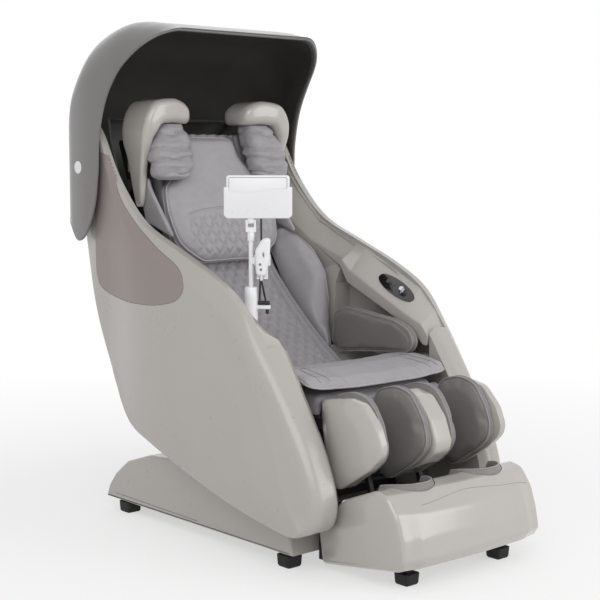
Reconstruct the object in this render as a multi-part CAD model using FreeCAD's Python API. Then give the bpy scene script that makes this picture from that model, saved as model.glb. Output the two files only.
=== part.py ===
"""Hooded full-body massage chair, built from its separate pieces.

Frame: +Z up, the sitter faces -Y, the sitter's right hand is at -X.
The origin is on the floor, in the middle of the chair's footprint. Millimetres.
"""
import FreeCAD, Part
import math
import os

# Driving dimensions
HALF_WIDTH = 360.0          # outermost face of the side panels
RIM_X = HALF_WIDTH - 48     # crest of the side panels, where the rim turns over
CAVITY_X = HALF_WIDTH - 64  # inner face of the side panels
NOSE_X = HALF_WIDTH - 122   # inner face of the panels' front noses
PANEL_WALL = 5.0            # wall of the moulded side panels
SIDE_X = HALF_WIDTH - 124   # inner edge of the armrests
SEAT_HALF = SIDE_X - 36     # half width of the seat
FRAME_OUT = SEAT_HALF + 1   # outer face of the seat frame's side plates
FRAME_PLATE = 10.0          # thickness of those plates
RUN_GAP = 0.5               # side clearance between plates that turn on each other
SEAT_GAP = 0.3              # gap between a curved seat and what lies in it
PIN_FIT = 0.05              # radial clearance of pins and shafts

BASE_HALF = HALF_WIDTH - 72  # half width of the base cover
BASE_WALL = 4.0
FOOT_HEIGHT = 28.0
FOOT_X, FOOT_REAR_Y, FOOT_FRONT_Y = BASE_HALF - 26, 350.0, -301.0

TILT_Y, TILT_Z = 120.0, 235.0        # axis on which the seat body tilts
TILT_SHAFT_R = 12.0
SLIDE_TRAVEL = 120.0                 # how far the carriage runs forward
LEG_Y, LEG_Z = -425.0, 386.0         # leg rest hinge
LEG_PIN_R = 6.0
LEG_HALF = SEAT_HALF + 20            # half width of the calf section
LEG_LEAN = 16.4                      # lean of the leg rest's run, degrees
LEG_EXTENSION = 100.0                # run-out of the foot section
FOOT_HALF = LEG_HALF + 9             # half width of the foot section

HOOD_Y, HOOD_Z = 461.0, 913.0        # hood hinge
HUB_X = HALF_WIDTH - 36.5            # inner face of the hood's hubs
HOOD_WALL = 7.0
LINER_WALL = 4.0
BACK_LEAN = 19.9                     # lean of the upper back, degrees
HEAD_PAD_LENGTH = 368.0
HEAD_PAD_THICK = 46.0


def vec(x, y, z):
    return FreeCAD.Vector(x, y, z)


def mirrored(shape):
    """The same piece on the other side of the chair."""
    return shape.mirror(vec(0, 0, 0), vec(1, 0, 0))


def both(shape):
    """A piece and its mirror image, as two separate solids."""
    return Part.makeCompound([shape, mirrored(shape)])


def box(x0, x1, y0, y1, z0, z1):
    return Part.makeBox(x1 - x0, y1 - y0, z1 - z0, vec(x0, y0, z0))


def rod_x(radius, x0, x1, y, z):
    return Part.makeCylinder(radius, x1 - x0, vec(x0, y, z), vec(1, 0, 0))


def rod_z(radius, z0, z1, x, y):
    return Part.makeCylinder(radius, z1 - z0, vec(x, y, z0), vec(0, 0, 1))


def flats_x(radius, x0, x1, y, z):
    """A round along X with sixteen flats, where nothing turns on it."""
    r = radius
    edge = ring("yz", x0, [(y - r, z - r, r), (y + r, z - r, r), (y + r, z + r, r), (y - r, z + r, r)], 4)
    return prism(Part.makePolygon(closed(edge)), vec(x1 - x0, 0, 0))


def flats_z(radius, z0, z1, x, y):
    """A round along Z with sixteen flats."""
    r = radius
    edge = ring("xy", z0, [(x - r, y - r, r), (x + r, y - r, r), (x + r, y + r, r), (x - r, y + r, r)], 4)
    return prism(Part.makePolygon(closed(edge)), vec(0, 0, z1 - z0))


def place(plane, level, a, b):
    """A point of an outline: its plane is named by its two axes."""
    return {"yz": vec(level, a, b), "xz": vec(a, level, b), "xy": vec(a, b, level)}[plane]


def corner_points(corners, steps):
    """Corners (a, b, r) rounded by a number of straight steps each."""
    points = []
    count = len(corners)
    for i, (a, b, radius) in enumerate(corners):
        before, after = corners[i - 1], corners[(i + 1) % count]
        p, q = math.hypot(before[0] - a, before[1] - b), math.hypot(after[0] - a, after[1] - b)
        u, w = ((before[0] - a) / p, (before[1] - b) / p), ((after[0] - a) / q, (after[1] - b) / q)
        half = math.acos(max(-1, min(1, u[0] * w[0] + u[1] * w[1]))) / 2
        radius = min(radius, 0.499 * min(p, q) * math.tan(half))
        if not radius:
            points.append((a, b))
            continue
        c, d = u[0] + w[0], u[1] + w[1]
        size = math.hypot(c, d)
        far = radius / math.sin(half)
        middle = (a + c / size * far, b + d / size * far)
        reach = radius / math.tan(half)
        first = (a + u[0] * reach, b + u[1] * reach)
        start = math.atan2(first[1] - middle[1], first[0] - middle[0])
        turn = math.pi - 2 * half
        if u[0] * w[1] - u[1] * w[0] > 0:
            turn = -turn
        for k in range(steps + 1):
            angle = start + turn * k / steps
            points.append((middle[0] + radius * math.cos(angle), middle[1] + radius * math.sin(angle)))
    return points


def ring(plane, level, corners, steps=2):
    """One station of a stack: the outline's points, its corners rounded in steps."""
    return [place(plane, level, a, b) for a, b in corner_points(corners, steps)]


def outline(plane, level, corners):
    """A closed outline of straight runs, with a true arc of radius r at each corner (a, b, r)."""
    points = ring(plane, level, corners, 2)
    edges, i = [], 0
    for corner in corners:
        if corner[2]:
            edges.append(Part.Arc(*points[i:i + 3]).toShape())
            i += 2
        i += 1
        if points[i - 1].distanceToPoint(points[i % len(points)]) > 1e-4:
            edges.append(Part.makeLine(points[i - 1], points[i % len(points)]))
    return Part.Wire(edges)


def sampled(chain, start, steps):
    """Points along arcs, each given by a middle and an end, or along straight runs."""
    points, here = [start], start
    for step in chain:
        if len(step) == 2:
            arc = Part.Arc(*[vec(0, *p) for p in (here, step[0], step[1])]).toShape()
            points += [(p.y, p.z) for p in arc.discretize(steps + 1)[1:]]
        else:
            points.append(step[0])
        here = step[-1]
    return points


def arcs(plane, level, start, chain):
    """A closed outline of arcs, each given by a middle and an end, or straight runs."""
    here = place(plane, level, *start)
    edges = []
    for step in chain:
        end = place(plane, level, *step[-1])
        if len(step) == 2:
            middle = place(plane, level, *step[0])
            edges.append(Part.Arc(here, middle, end).toShape())
        else:
            edges.append(Part.makeLine(here, end))
        here = end
    return Part.Wire(edges)


def closed(points):
    return points + points[:1]


def prism(wire, direction):
    return Part.Face(wire).extrude(direction)


def slab(corners, x0, x1):
    """A plate with its outline in the side view, from x0 to x1."""
    return prism(outline("yz", x0, corners), vec(x1 - x0, 0, 0))


def stack(rings, quilted=False):
    """A solid through stations of as many points each, its sides folded outwards.

    A quilted one is folded inwards, so that the low points are joined by its seams.
    """
    middle = [sum(ring_, vec(0, 0, 0)) * (1.0 / len(ring_)) for ring_ in rings]
    area = vec(0, 0, 0)
    for a, b in zip(rings[0], rings[0][1:] + rings[0][:1]):
        area += (a - middle[0]).cross(b - middle[0])
    ahead = area.dot(middle[-1] - middle[0]) > 0
    faces = []

    def face(*points):
        kept = [p for i, p in enumerate(points) if p.distanceToPoint(points[i - 1]) > 1e-4]
        if len(kept) > 2 and (len(kept) > 3 or (kept[1] - kept[0]).cross(kept[2] - kept[0]).Length > 1e-6):
            faces.append(Part.Face(Part.makePolygon(closed(kept))))

    for low, high in zip(rings, rings[1:]):
        for i in range(len(low)):
            a, b, c, d = low[i - 1], low[i], high[i], high[i - 1]
            rise = (b - a).cross(c - a).dot(d - a) * (1 if ahead else -1)
            if abs(rise) < 1e-7:
                face(a, b, c, d)
            elif (rise < 0) != quilted:
                face(a, b, c)
                face(a, c, d)
            else:
                face(a, b, d)
                face(b, c, d)
    face(*rings[0])
    face(*rings[-1])
    shell = Part.makeCompound(faces)
    shell.sewShape()
    solid = Part.makeSolid(shell.Shells[0])
    if solid.Volume < 0:
        solid.reverse()
    return solid


def inset(corners, distance):
    """The outline drawn in by a distance, its corner radii with it."""
    count = len(corners)
    area = sum(corners[i - 1][0] * corners[i][1] - corners[i][0] * corners[i - 1][1]
               for i in range(count))
    side = 1.0 if area > 0 else -1.0
    lines = []
    for i in range(count):
        a, b = corners[i], corners[(i + 1) % count]
        length = math.hypot(b[0] - a[0], b[1] - a[1])
        tangent = ((b[0] - a[0]) / length, (b[1] - a[1]) / length)
        normal = (-tangent[1] * side, tangent[0] * side)
        lines.append((a[0] + normal[0] * distance, a[1] + normal[1] * distance, tangent))
    result = []
    for i in range(count):
        ax, ay, (ux, uy) = lines[i - 1]
        bx, by, (wx, wy) = lines[i]
        cross = ux * wy - uy * wx
        reach = ((bx - ax) * wy - (by - ay) * wx) / cross
        radius = corners[i][2] if len(corners[i]) > 2 else 0.0
        result.append((ax + ux * reach, ay + uy * reach, max(radius - distance, 1.0) if radius else 0.0))
    return result


def pad(plane, corners, levels, steps=2):
    """A stuffed pad: the outline is drawn in by d at each level, for (level, d) in levels."""
    return stack([ring(plane, level, inset(corners, d), steps) for level, d in levels])


def between(low, high, share):
    """An outline part of the way from one to another with as many corners."""
    return [tuple(a + (b - a) * share for a, b in zip(p, q)) for p, q in zip(low, high)]


def symmetric(half):
    """An outline that is the same on both sides of x = 0, from its +X half, bottom to top."""
    return half + [(-a, *rest) for a, *rest in reversed(half)]


def lean_back(shape, y, z, lean):
    """Stands a piece drawn flat (x, length, front) against a back that leans by some degrees."""
    placed = shape.copy()
    placed.Placement = FreeCAD.Placement(
        vec(0, y, z), FreeCAD.Rotation(vec(1, 0, 0), 90 - lean))
    return placed


# The side panels: a leaf-shaped moulding with a crest, a broad nose and a bulging side
CREST = [
    # (y, z, inward direction y and z, the part of the edge it belongs to, its share of the draw)
    (490, 880, -1.0, 0.0, "rear", 1),
    (484, 962, -1.0, -0.4, "rear", 1),
    (430, 1030, 0.3, -1.0, "top", 1),
    (322, 884, 0.5, -0.85, "top", 1),
    (212, 780, 0.4, -0.9, "top", 1),
    (60, 716, 0.3, -0.95, "top", 1),
    (-80, 660, 0.4, -0.9, "top", 1),
    (-182, 602, 0.6, -0.8, "top", 1),
    (-247, 522, 0.8, -0.5, "front", 0.5),
    (-332, 398, 0.85, -0.3, "front", 0.8),
    (-412, 265, 0.9, -0.2, "front", 1),
    (-442, 176, 1.0, 0.3, "front", 1),
    (-414, 132, 0.6, 0.8, "low", 0.5),
    (-260, 139, 0.0, 1.0, "low", 1),
    (-97, 161, 0.0, 1.0, "low", 1),
    (135, 228, -0.2, 1.0, "low", 1),
    (240, 272, -0.8, 0.6, "rear", 1),
    (389, 488, -0.85, 0.5, "rear", 1),
    (466, 700, -1.0, 0.2, "rear", 1),
    (488, 790, -1.0, 0.0, "rear", 1),
]
# (x, then how far the top, front, low and rear parts of the edge are drawn in)
PANEL_STATIONS = [
    (NOSE_X, 0, 4, 6, 0),
    (NOSE_X + 22, 0, -14, 0, 0),
    (CAVITY_X, 0, -10, 0, 0),
    (RIM_X, 0, 0, 0, 0),
    (RIM_X + 12, 12, 18, 0, 0),
    (RIM_X + 30, 42, 70, 4, 4),
    (HALF_WIDTH - 6, 110, 125, 15, 12),
    (HALF_WIDTH, 190, 200, 60, 60),
]
NOSE_BACK = -265.0          # the noses stand in front of this line, the armrests behind it
# The hollow of a panel and, further out, its shallower part
PANEL_HOLLOW = [(455, 930, 0), (330, 850, 0), (215, 735, 0), (55, 670, 0), (-90, 612, 0),
                (-190, 545, 0), (-257, 430, 0), (-257, 165, 0), (-90, 182, 0), (130, 250, 0),
                (230, 295, 0), (370, 500, 0), (440, 700, 0), (465, 850, 0)]


def panel_edge(station):
    x, top, front, low, rear = station
    draw = {"top": top, "front": front, "low": low, "rear": rear}
    at = [(y + dy * draw[part] * share, z + dz * draw[part] * share)
          for y, z, dy, dz, part, share in CREST]
    chain = [(at[i], at[(i + 1) % len(at)]) for i in range(1, len(at), 2)]
    return [place("yz", x, y, z) for y, z in sampled(chain, at[0], 3)[:-1]]


def plan_limit(wall=0.0):
    """How far out the panel may stand: it narrows towards the hood at the rear."""
    wide = HALF_WIDTH - wall
    corners = [(200, -520, 0), (wide + 20, -520, 0), (wide, 60, 0), (wide - 3, 130, 0),
               (wide - 14, 215, 0), (wide - 30, 290, 0), (wide - 38, 340, 0), (wide - 44, 420, 0),
               (wide - 58, 505, 0), (wide - 58, 520, 0), (200, 520, 0)]
    return prism(outline("xy", 60, corners), vec(0, 0, 1000))


INLAY = [(330, 600, 30), (150, 583, 60), (-10, 596, 40), (-42, 640, 22), (20, 690, 30),
         (120, 748, 60), (221, 823, 50), (300, 905, 20), (350, 950, 5), (400, 950, 5), (400, 640, 30)]
INLAY_THICK = 3.0


def panel_skin():
    return stack([panel_edge(s) for s in PANEL_STATIONS]).common(plan_limit())


def inlay_plate():
    """The coloured plate let into the upper rear of a side panel."""
    under = stack([panel_edge((s[0] - INLAY_THICK, *s[1:])) for s in PANEL_STATIONS[2:]])
    patch = prism(Part.makePolygon(closed(ring("yz", CAVITY_X + 8, INLAY))), vec(80, 0, 0))
    return panel_skin().common(patch).cut(under.common(plan_limit(INLAY_THICK)))


def side_panel():
    """The left (+X) panel: a hollow moulding, closed on the inside by the armrest."""
    shell = panel_skin()
    shell = shell.cut(box(100, CAVITY_X, NOSE_BACK, 600, 60, 1100))
    hollow = slab(PANEL_HOLLOW, CAVITY_X - 1, RIM_X - 2).fuse(
        slab(inset(PANEL_HOLLOW, 22), RIM_X - 3, RIM_X + 12))
    nose = slab([(NOSE_BACK + 1, 470, 0), (-300, 410, 0), (-372, 262, 0), (-408, 190, 0),
                 (-396, 160, 0), (NOSE_BACK + 1, 162, 0)], NOSE_X + 8, RIM_X + 4)
    boss = flats_x(19, RIM_X - 14, HUB_X - 1, HOOD_Y, HOOD_Z)
    pin = rod_x(HOOD_PIN_R, HUB_X - 1.5, HUB_X + 7.5, HOOD_Y, HOOD_Z)
    hollow = hollow.common(plan_limit(PANEL_WALL))
    shell = shell.cut(hollow).cut(nose).cut(inlay_plate())
    hinge_web = slab([(440, 880, 0), (484, 880, 0), (484, 950, 0), (420, 950, 0)],
                     CAVITY_X, RIM_X - 8).common(panel_skin())
    return shell.fuse(hinge_web).fuse(boss).fuse(pin)


# The base
BASE_SIDE = [(426, 31, 0), (412, 66, 10), (381, 102, 20), (326, 143, 30), (226, 175, 40), (60, 188, 60),
             (-200, 150, 60), (-308, 107, 20), (-330, 74, 10), (-339, 33, 0)]


NOSE_LUG = 120.0            # half width of the lug that the front housing is screwed on by


def base_cover():
    """Moulded cover round the base frame, open below and open on top under the seat."""
    cover = slab(BASE_SIDE, -BASE_HALF, BASE_HALF)
    core = inset(BASE_SIDE, BASE_WALL)
    core[0], core[-1] = (core[0][0], 20, 0), (core[-1][0], 20, 0)
    cover = cover.cut(slab(core, -BASE_HALF + BASE_WALL, BASE_HALF - BASE_WALL))
    top = box(-FRAME_OUT - 24, FRAME_OUT + 24, -300, TILT_Y + 70, 90, 220)
    inlet = box(*INLET_BOX[:2], 330, 440, *INLET_BOX[2:])
    lug = box(-NOSE_LUG - 0.3, NOSE_LUG + 0.3, -345, -325, 39.7, 56.3)
    return cover.cut(top).cut(inlet).cut(lug)


RAIL_IN, RAIL_OUT, RAIL_TOP = FRAME_OUT + 17, FRAME_OUT + 35, 84.0
FRAME_LOW, FRAME_TOP = 34.0, 62.0
TUBE_ROWS = (-290.0, 30.0, 360.0)


def base_frame():
    """Two channel rails, three cross tubes and the plates that the feet screw to."""
    rail = box(RAIL_OUT + 4, BASE_HALF - 8, -312, 392, FRAME_LOW, FRAME_TOP).cut(
        box(RAIL_OUT + 7, BASE_HALF - 7, -320, 400, FRAME_LOW + 4, FRAME_TOP - 4))
    frame = rail.fuse(mirrored(rail))
    for y in TUBE_ROWS:
        frame = frame.fuse(box(-RAIL_OUT - 5, RAIL_OUT + 5, y - 15, y + 15, FRAME_LOW, FRAME_TOP))
    for y in (FOOT_FRONT_Y, FOOT_REAR_Y):
        foot = box(FOOT_X - 16, FOOT_X + 16, y - 16, y + 16, FOOT_HEIGHT, FRAME_LOW + 1)
        frame = frame.fuse(foot).fuse(mirrored(foot))
    stop = box(BASE_HALF - 8, BASE_HALF - BASE_WALL - 0.3, -100, 100, FRAME_LOW, FRAME_LOW + 6)
    return frame.fuse(stop).fuse(mirrored(stop))


def rubber_foot(x, y, width, height):
    """A square rubber foot, a little narrower at the floor."""
    half = width / 2
    base = [(x + a * half, y + b * half, 8) for a, b in ((-1, -1), (1, -1), (1, 1), (-1, 1))]
    return pad("xy", base, [(0, 5), (4, 2), (height, 0)], 2)


def rubber_feet():
    return Part.makeCompound([rubber_foot(side * FOOT_X, y, 46, FOOT_HEIGHT) for side in (-1, 1)
                              for y in (FOOT_FRONT_Y, FOOT_REAR_Y)])


def base_nose():
    """The black housing at the front of the base, behind the foot section."""
    shape = [(-339.5, 14, 0), (-362, 14, 6), (-352, 60, 6), (-350, 120, 10), (-336, 140, 4),
             (-322, 112, 0), (-339.5, 76, 0)]
    nose = slab(shape, -SEAT_HALF - 5, SEAT_HALF + 5)
    lug = box(-NOSE_LUG, NOSE_LUG, -339.5, -305.3, 40, 56)
    return nose.fuse(lug)


def slide_rails():
    """The two rails that the carriage runs on, bolted to the base frame's cross tubes."""
    rail = box(RAIL_IN, RAIL_OUT, -305, 300, FRAME_TOP, RAIL_TOP)
    return both(rail.cut(box(RAIL_IN + 5, RAIL_OUT + 1, -306, 301, FRAME_TOP + 6, RAIL_TOP - 6)))


def control_box():
    body = box(-90, 90, 205, 332, FRAME_TOP, 130).fuse(box(-80, 80, 331, 374, FRAME_TOP, FRAME_TOP + 4))
    return body.cut(box(-60, 60, 328, 333, 84, 112))


INLET_BOX = (63 - BASE_HALF, 133 - BASE_HALF, 46.0, 84.0)
INLET_Y = 417.0                       # rear face of the inlet's flange
SWITCH_X, SWITCH_Z = INLET_BOX[1] - 21, 65.0  # middle of the rocker switch


def power_inlet():
    """Mains inlet at the rear: a flanged socket with three pins, and the switch's well."""
    x0, x1, z0, z1 = INLET_BOX
    flange = box(x0 + 0.3, x1 - 0.3, INLET_Y - 12, INLET_Y - 6, z0 + 0.3, z1 - 0.3)
    shell = box(x0 + 4, x1 - 4, INLET_Y - 41, INLET_Y - 11, z0 + 4, z1 - 4)
    foot = box(x0 + 4, x1 - 4, INLET_Y - 42, INLET_Y - 30, FRAME_LOW, z0 + 5).fuse(
        box(x0 + 4, x1 - 4, 375, INLET_Y - 30, FRAME_LOW, FRAME_LOW + 6))
    socket = box(x0 + 10, x0 + 34, INLET_Y - 32, INLET_Y, z0 + 11, z1 - 11)
    well = box(SWITCH_X - 9.3, SWITCH_X + 9.3, INLET_Y - 34, INLET_Y, SWITCH_Z - 11, SWITCH_Z + 11)
    body = flange.fuse(shell).fuse(foot).cut(socket).cut(well)
    for x in (x0 + 15, x0 + 22, x0 + 29):
        body = body.fuse(box(x - 1.5, x + 1.5, INLET_Y - 33, INLET_Y - 14, 62, 68))
    return body.fuse(rod_x(2, SWITCH_X - 10, SWITCH_X + 10, INLET_Y - 14, SWITCH_Z))


def mains_switch():
    """Rocker of the mains switch, on a pin along X."""
    y = INLET_Y - 14
    rocker = slab([(y - 8, SWITCH_Z - 7, 1), (y + 8, SWITCH_Z - 8, 1), (y + 6, SWITCH_Z, 0),
                   (y + 9, SWITCH_Z + 8, 1), (y - 8, SWITCH_Z + 7, 1)], SWITCH_X - 9, SWITCH_X + 9)
    return rocker.cut(rod_x(2 + PIN_FIT, SWITCH_X - 10, SWITCH_X + 10, y, SWITCH_Z))


# The carriage that slides and the seat body that tilts on it
def slide_carriage():
    """The frame that runs forward on the rails, with the brackets and shaft of the tilt."""
    side = box(FRAME_OUT + 3, FRAME_OUT + 15, -170, 190, RAIL_TOP + SEAT_GAP, 112)
    half = side
    for y in (-130, 150):
        half = half.fuse(box(FRAME_OUT + 3, RAIL_OUT, y - 30, y + 30, RAIL_TOP + SEAT_GAP, 96))
    bracket = slab([(TILT_Y - 38, 96, 0), (TILT_Y + 38, 96, 0), (TILT_Y + 18, TILT_Z + 20, 17),
                    (TILT_Y - 18, TILT_Z + 20, 17)], FRAME_OUT + RUN_GAP, FRAME_OUT + 10)
    half = half.fuse(bracket)
    frame = half.fuse(mirrored(half))
    for y in (-150, 172):
        frame = frame.fuse(box(-FRAME_OUT - 4, FRAME_OUT + 4, y - 12, y + 12, RAIL_TOP + 4, 110))
    shaft = rod_x(TILT_SHAFT_R, -FRAME_OUT - 10, FRAME_OUT + 10, TILT_Y, TILT_Z)
    return frame.fuse(shaft)


def tilt_motor():
    """Geared motor on the carriage that turns the seat body about the shaft."""
    gears = slab([(TILT_Y - 22, 110.3, 0), (184, 110.3, 0), (184, 170, 0), (TILT_Y + 24, TILT_Z + 24, 0),
                  (TILT_Y - 22, TILT_Z + 24, 0)], -110, -72)
    gears = gears.cut(rod_x(TILT_SHAFT_R + PIN_FIT, -120, -60, TILT_Y, TILT_Z))
    return gears.fuse(flats_x(26, -73, 60, 156, 142))


SEAT_PLATE = [(476, 985, 8), (434, 985, 8), (310, 672, 40), (200, 508, 60), (60, 385, 60),
              (-60, 343, 30), (-318, 343, 6), (-318, 300, 6), (-40, 290, 60), (90, 215, 20),
              (150, 215, 20), (160, 300, 60), (250, 500, 60), (352, 660, 60)]
FRAME_TUBES = [(-300, 320), (-20, 314), (215, 470), (285, 600), (446, 958)]
TUBE_HALF = 11.0            # the seat frame's cross tubes are square
PAN_TOP = 345.7


def cross_tube(reach, y, z, gap):
    """The space of one square cross tube of the seat frame."""
    half = TUBE_HALF + gap
    return box(-reach, reach, y - half, y + half, z - half, z + half)


def seat_frame():
    """Side plates of the seat and back in one, their cross tubes, the pan and the leg arms."""
    inner = FRAME_OUT - FRAME_PLATE
    plate = slab(SEAT_PLATE, inner, FRAME_OUT)
    arm = slab([(-300, 343, 0), (-300, 318, 0), (-352, 318, 8), (LEG_Y - 13, LEG_Z - 13, 12),
                (LEG_Y - 13, LEG_Z + 13, 12), (LEG_Y + 20, LEG_Z + 13, 10), (-352, 343, 10)],
               inner, FRAME_OUT)
    half = plate.fuse(arm).cut(rod_x(TILT_SHAFT_R + PIN_FIT, 180, 220, TILT_Y, TILT_Z))
    half = half.cut(rod_x(LEG_PIN_R + PIN_FIT, 180, 220, LEG_Y, LEG_Z))
    frame = half.fuse(mirrored(half))
    for y, z in FRAME_TUBES:
        frame = frame.fuse(cross_tube(inner + 1, y, z, 0))
    frame = frame.fuse(box(-inner - 1, inner + 1, -316, -64, 330, PAN_TOP))
    for y0, y1, z0, z1 in ((-200, -120, 300, 331), (404, 424, 850, 880)):
        frame = frame.fuse(box(inner, CAVITY_X - 6.3, y0, y1, z0, z1))
        frame = frame.fuse(mirrored(box(inner, CAVITY_X - 6.3, y0, y1, z0, z1)))
    return frame


def air_pump():
    """The air pump for the cushions, hung under the seat pan."""
    body = box(-75, 75, -200, -120, 250, 318)
    lugs = box(-90, 90, -175, -145, 312, 330)
    return body.fuse(lugs)


def guide_rails():
    """The bent rail on each side of the back, on which the massage carriage climbs."""
    edge = [(484, 966, 0), (362, 672, 0), (312, 615, 0), (224, 515, 0), (210, 524, 0), (288, 640, 0),
            (312, 686, 0), (430, 972, 0)]
    rail = slab(edge, 98, 108)
    for y, z in FRAME_TUBES[2:]:
        rail = rail.cut(cross_tube(150, y, z, 0.05))
    return both(rail)


CARRIAGE_Y, CARRIAGE_Z, CARRIAGE_LEAN = 335.0, 700.0, 22.4


def massage_carriage():
    """The massage carriage between the guide rails: a plate, its motors and the shaft's lugs."""
    body = box(-97.5, 97.5, -34, 34, -34, -22)
    body = body.fuse(flats_x(22, 15, 90, 0, -54)).fuse(box(-88, -20, -12, 26, -70, -33))
    for side in (-1, 1):
        body = body.fuse(box(side * 66 - 4, side * 66 + 4, -12, 12, -23, 8))
    body = body.cut(rod_x(4 + PIN_FIT, -100, 100, 0, 0))
    return lean_back(body, CARRIAGE_Y, CARRIAGE_Z, CARRIAGE_LEAN)


def massage_rollers():
    """Two kneading rollers, each at the end of an arm of the shaft."""
    body = rod_x(4, -70, 70, 0, 0)
    for x in (-42, 42):
        body = body.fuse(box(x - 5, x + 5, -12, 26, -6, 6))
        body = body.fuse(flats_x(12, x - 9, x + 9, 22, 0))
    return lean_back(body, CARRIAGE_Y, CARRIAGE_Z, CARRIAGE_LEAN)


def seat_fascia():
    """The upholstered board below the seat's front edge."""
    return slab([(-316.3, 331, 0), (-356, 331, 8), (-358, 380, 12), (-332, 386, 4), (-323, 380, 0),
                 (-323, 345, 0), (-316.3, 345, 0)], -SEAT_HALF + 12, SEAT_HALF - 12)


# The armrests: a deck that slopes up to the panel's crest, a forearm tunnel, and a wing behind
DECK_Y, DECK_SLOPE = -115.0, 0.47     # middle of the deck's flat part, and its rise to the rear
DECK_IN_Z = 569.0                     # its inner edge there
DECK_RISE = CAVITY_X - SIDE_X         # rise from the inner edge to the panel


def deck_z(y, x=SIDE_X):
    return DECK_IN_Z + DECK_SLOPE * (y - DECK_Y) + (x - SIDE_X) * DECK_RISE / (CAVITY_X - SIDE_X)


DECK_INNER = [(64, 668, 10), (27, 636, 12), (-35, deck_z(-35), 1), (-175, deck_z(-175), 8),
              (-236, 508, 20), (-258, 482, 16), (-256, 462, 5), (-242, 464, 8), (-209, 493, 20),
              (-88, 549, 20), (40, 604, 20), (74, 655, 6)]
DECK_OUTER = [(64, 708, 10), (27, 696, 12), (-35, deck_z(-35, CAVITY_X), 1),
              (-175, deck_z(-175, CAVITY_X), 8), (-226, 532, 20), (-260, 480, 16), (-256, 462, 5),
              (-242, 464, 8), (-215, 500, 20), (-88, 600, 20), (40, 664, 20), (74, 690, 6)]


def armrest():
    """The armrest's inner moulding."""
    backing = slab([(-258, 426, 0), (-258, 470, 0), (-205, 556, 0), (-80, 646, 0), (60, 702, 0),
                    (212, 766, 0), (300, 846, 0), (386, 946, 0), (420, 880, 0), (330, 640, 0),
                    (250, 500, 0), (170, 426, 0)], CAVITY_X - 6, CAVITY_X)
    deck = stack([ring("yz", SIDE_X, inset(DECK_INNER, 1.5)),
                  ring("yz", SIDE_X + 3, between(DECK_INNER, DECK_OUTER, 3 / (CAVITY_X - SIDE_X))),
                  ring("yz", CAVITY_X, DECK_OUTER)])
    wing = stack([
        ring("yz", SIDE_X + 14, [(72, 640, 1), (72, 668, 6), (200, 712, 20), (300, 770, 20),
                                 (352, 832, 6), (362, 820, 4), (310, 690, 10), (240, 590, 10)]),
        ring("yz", CAVITY_X, [(64, 640, 1), (64, 700, 6), (212, 768, 20), (312, 862, 20),
                              (386, 946, 6), (410, 900, 4), (330, 690, 10), (250, 590, 10)])])
    floor = slab([(-256, 426, 0), (170, 426, 0), (170, 438, 0), (-240, 438, 4), (-256, 434, 0)],
                 SIDE_X, CAVITY_X)
    rear = slab([(90, 430, 0), (170, 430, 0), (245, 590, 0), (100, 648, 0), (66, 640, 0), (84, 600, 0)],
                SIDE_X, CAVITY_X)
    return backing.fuse(deck).fuse(wing).fuse(floor).fuse(rear)


# What stands on the decks is drawn about (x, y, 0) on the deck: x outwards, y to the rear
def on_deck(shape, x, y, side):
    """Lays a piece on the flat part of a deck, at x and y in the chair's frame."""
    along = vec(0, 1, DECK_SLOPE).normalize()
    across = vec(1, 0, DECK_RISE / (CAVITY_X - SIDE_X))
    up = across.cross(along).normalize()
    across = along.cross(up)
    turn = FreeCAD.Matrix(across.x, along.x, up.x, x, across.y, along.y, up.y, y,
                          across.z, along.z, up.z, deck_z(y, x), 0, 0, 0, 1)
    placed = shape.transformed(turn)
    return placed if side > 0 else mirrored(placed)


def leaf(length, width, z0, z1):
    """A flat leaf-shaped plate, its long axis along y."""
    half, end = width / 2, length / 2
    edge = ring("xy", z0, [(0, -end, 6), (half, -end * 0.4, 30), (half, end * 0.4, 30), (0, end, 6),
                           (-half, end * 0.4, 30), (-half, -end * 0.4, 30)], 2)
    return prism(Part.makePolygon(closed(edge)), vec(0, 0, z1 - z0))


JOYSTICK_X, JOYSTICK_Y = CAVITY_X - 29, -118.0
STICK_OFFSET = -26.0                  # the stick stands this far forward of the panel's middle
CONTROL_Y = -92.0
BUTTON_STEP = 22.0


def joystick_panel():
    """The oval panel on the left (+X) deck, with the joystick's socket."""
    plate = leaf(134, 48, 0, 3)
    plate = plate.fuse(flats_z(11, 0, 7, 0, STICK_OFFSET))
    plate = plate.cut(flats_z(9, 1.5, 10, 0, STICK_OFFSET))
    for y in (14, 34):
        plate = plate.fuse(box(-5, 5, y - 6, y + 6, 2.5, 4))
    return on_deck(plate, JOYSTICK_X, JOYSTICK_Y, 1)


def joystick():
    """The stick: a pivot block on its pin in the socket, a neck and a cap."""
    block = box(-4, 4, STICK_OFFSET - 4, STICK_OFFSET + 4, 3, 10)
    pin = rod_x(1.2, -8.7, 8.7, STICK_OFFSET, 6.5)
    neck = box(-2.5, 2.5, STICK_OFFSET - 2.5, STICK_OFFSET + 2.5, 9, 17)
    cap = flats_z(7, 16.5, 20.5, 0, STICK_OFFSET)
    return on_deck(block.fuse(pin).fuse(neck).fuse(cap), JOYSTICK_X, JOYSTICK_Y, 1)


KEY_HALF_X, KEY_HALF_Y = 7.0, 8.0


def control_panel():
    """The slim key panel on the right (-X) deck, with a well for each of its three keys."""
    edge = ring("xy", 0, [(-13, -40, 8), (13, -40, 8), (13, 62, 8), (-13, 62, 8)], 2)
    plate = prism(Part.makePolygon(closed(edge)), vec(0, 0, 4))
    for k in (-1, 0, 1):
        y = k * BUTTON_STEP
        plate = plate.cut(box(-KEY_HALF_X - 0.3, KEY_HALF_X + 0.3, y - KEY_HALF_Y - 0.3,
                              y + KEY_HALF_Y + 0.3, 1, 5))
    return on_deck(plate, JOYSTICK_X, CONTROL_Y, -1)


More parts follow.
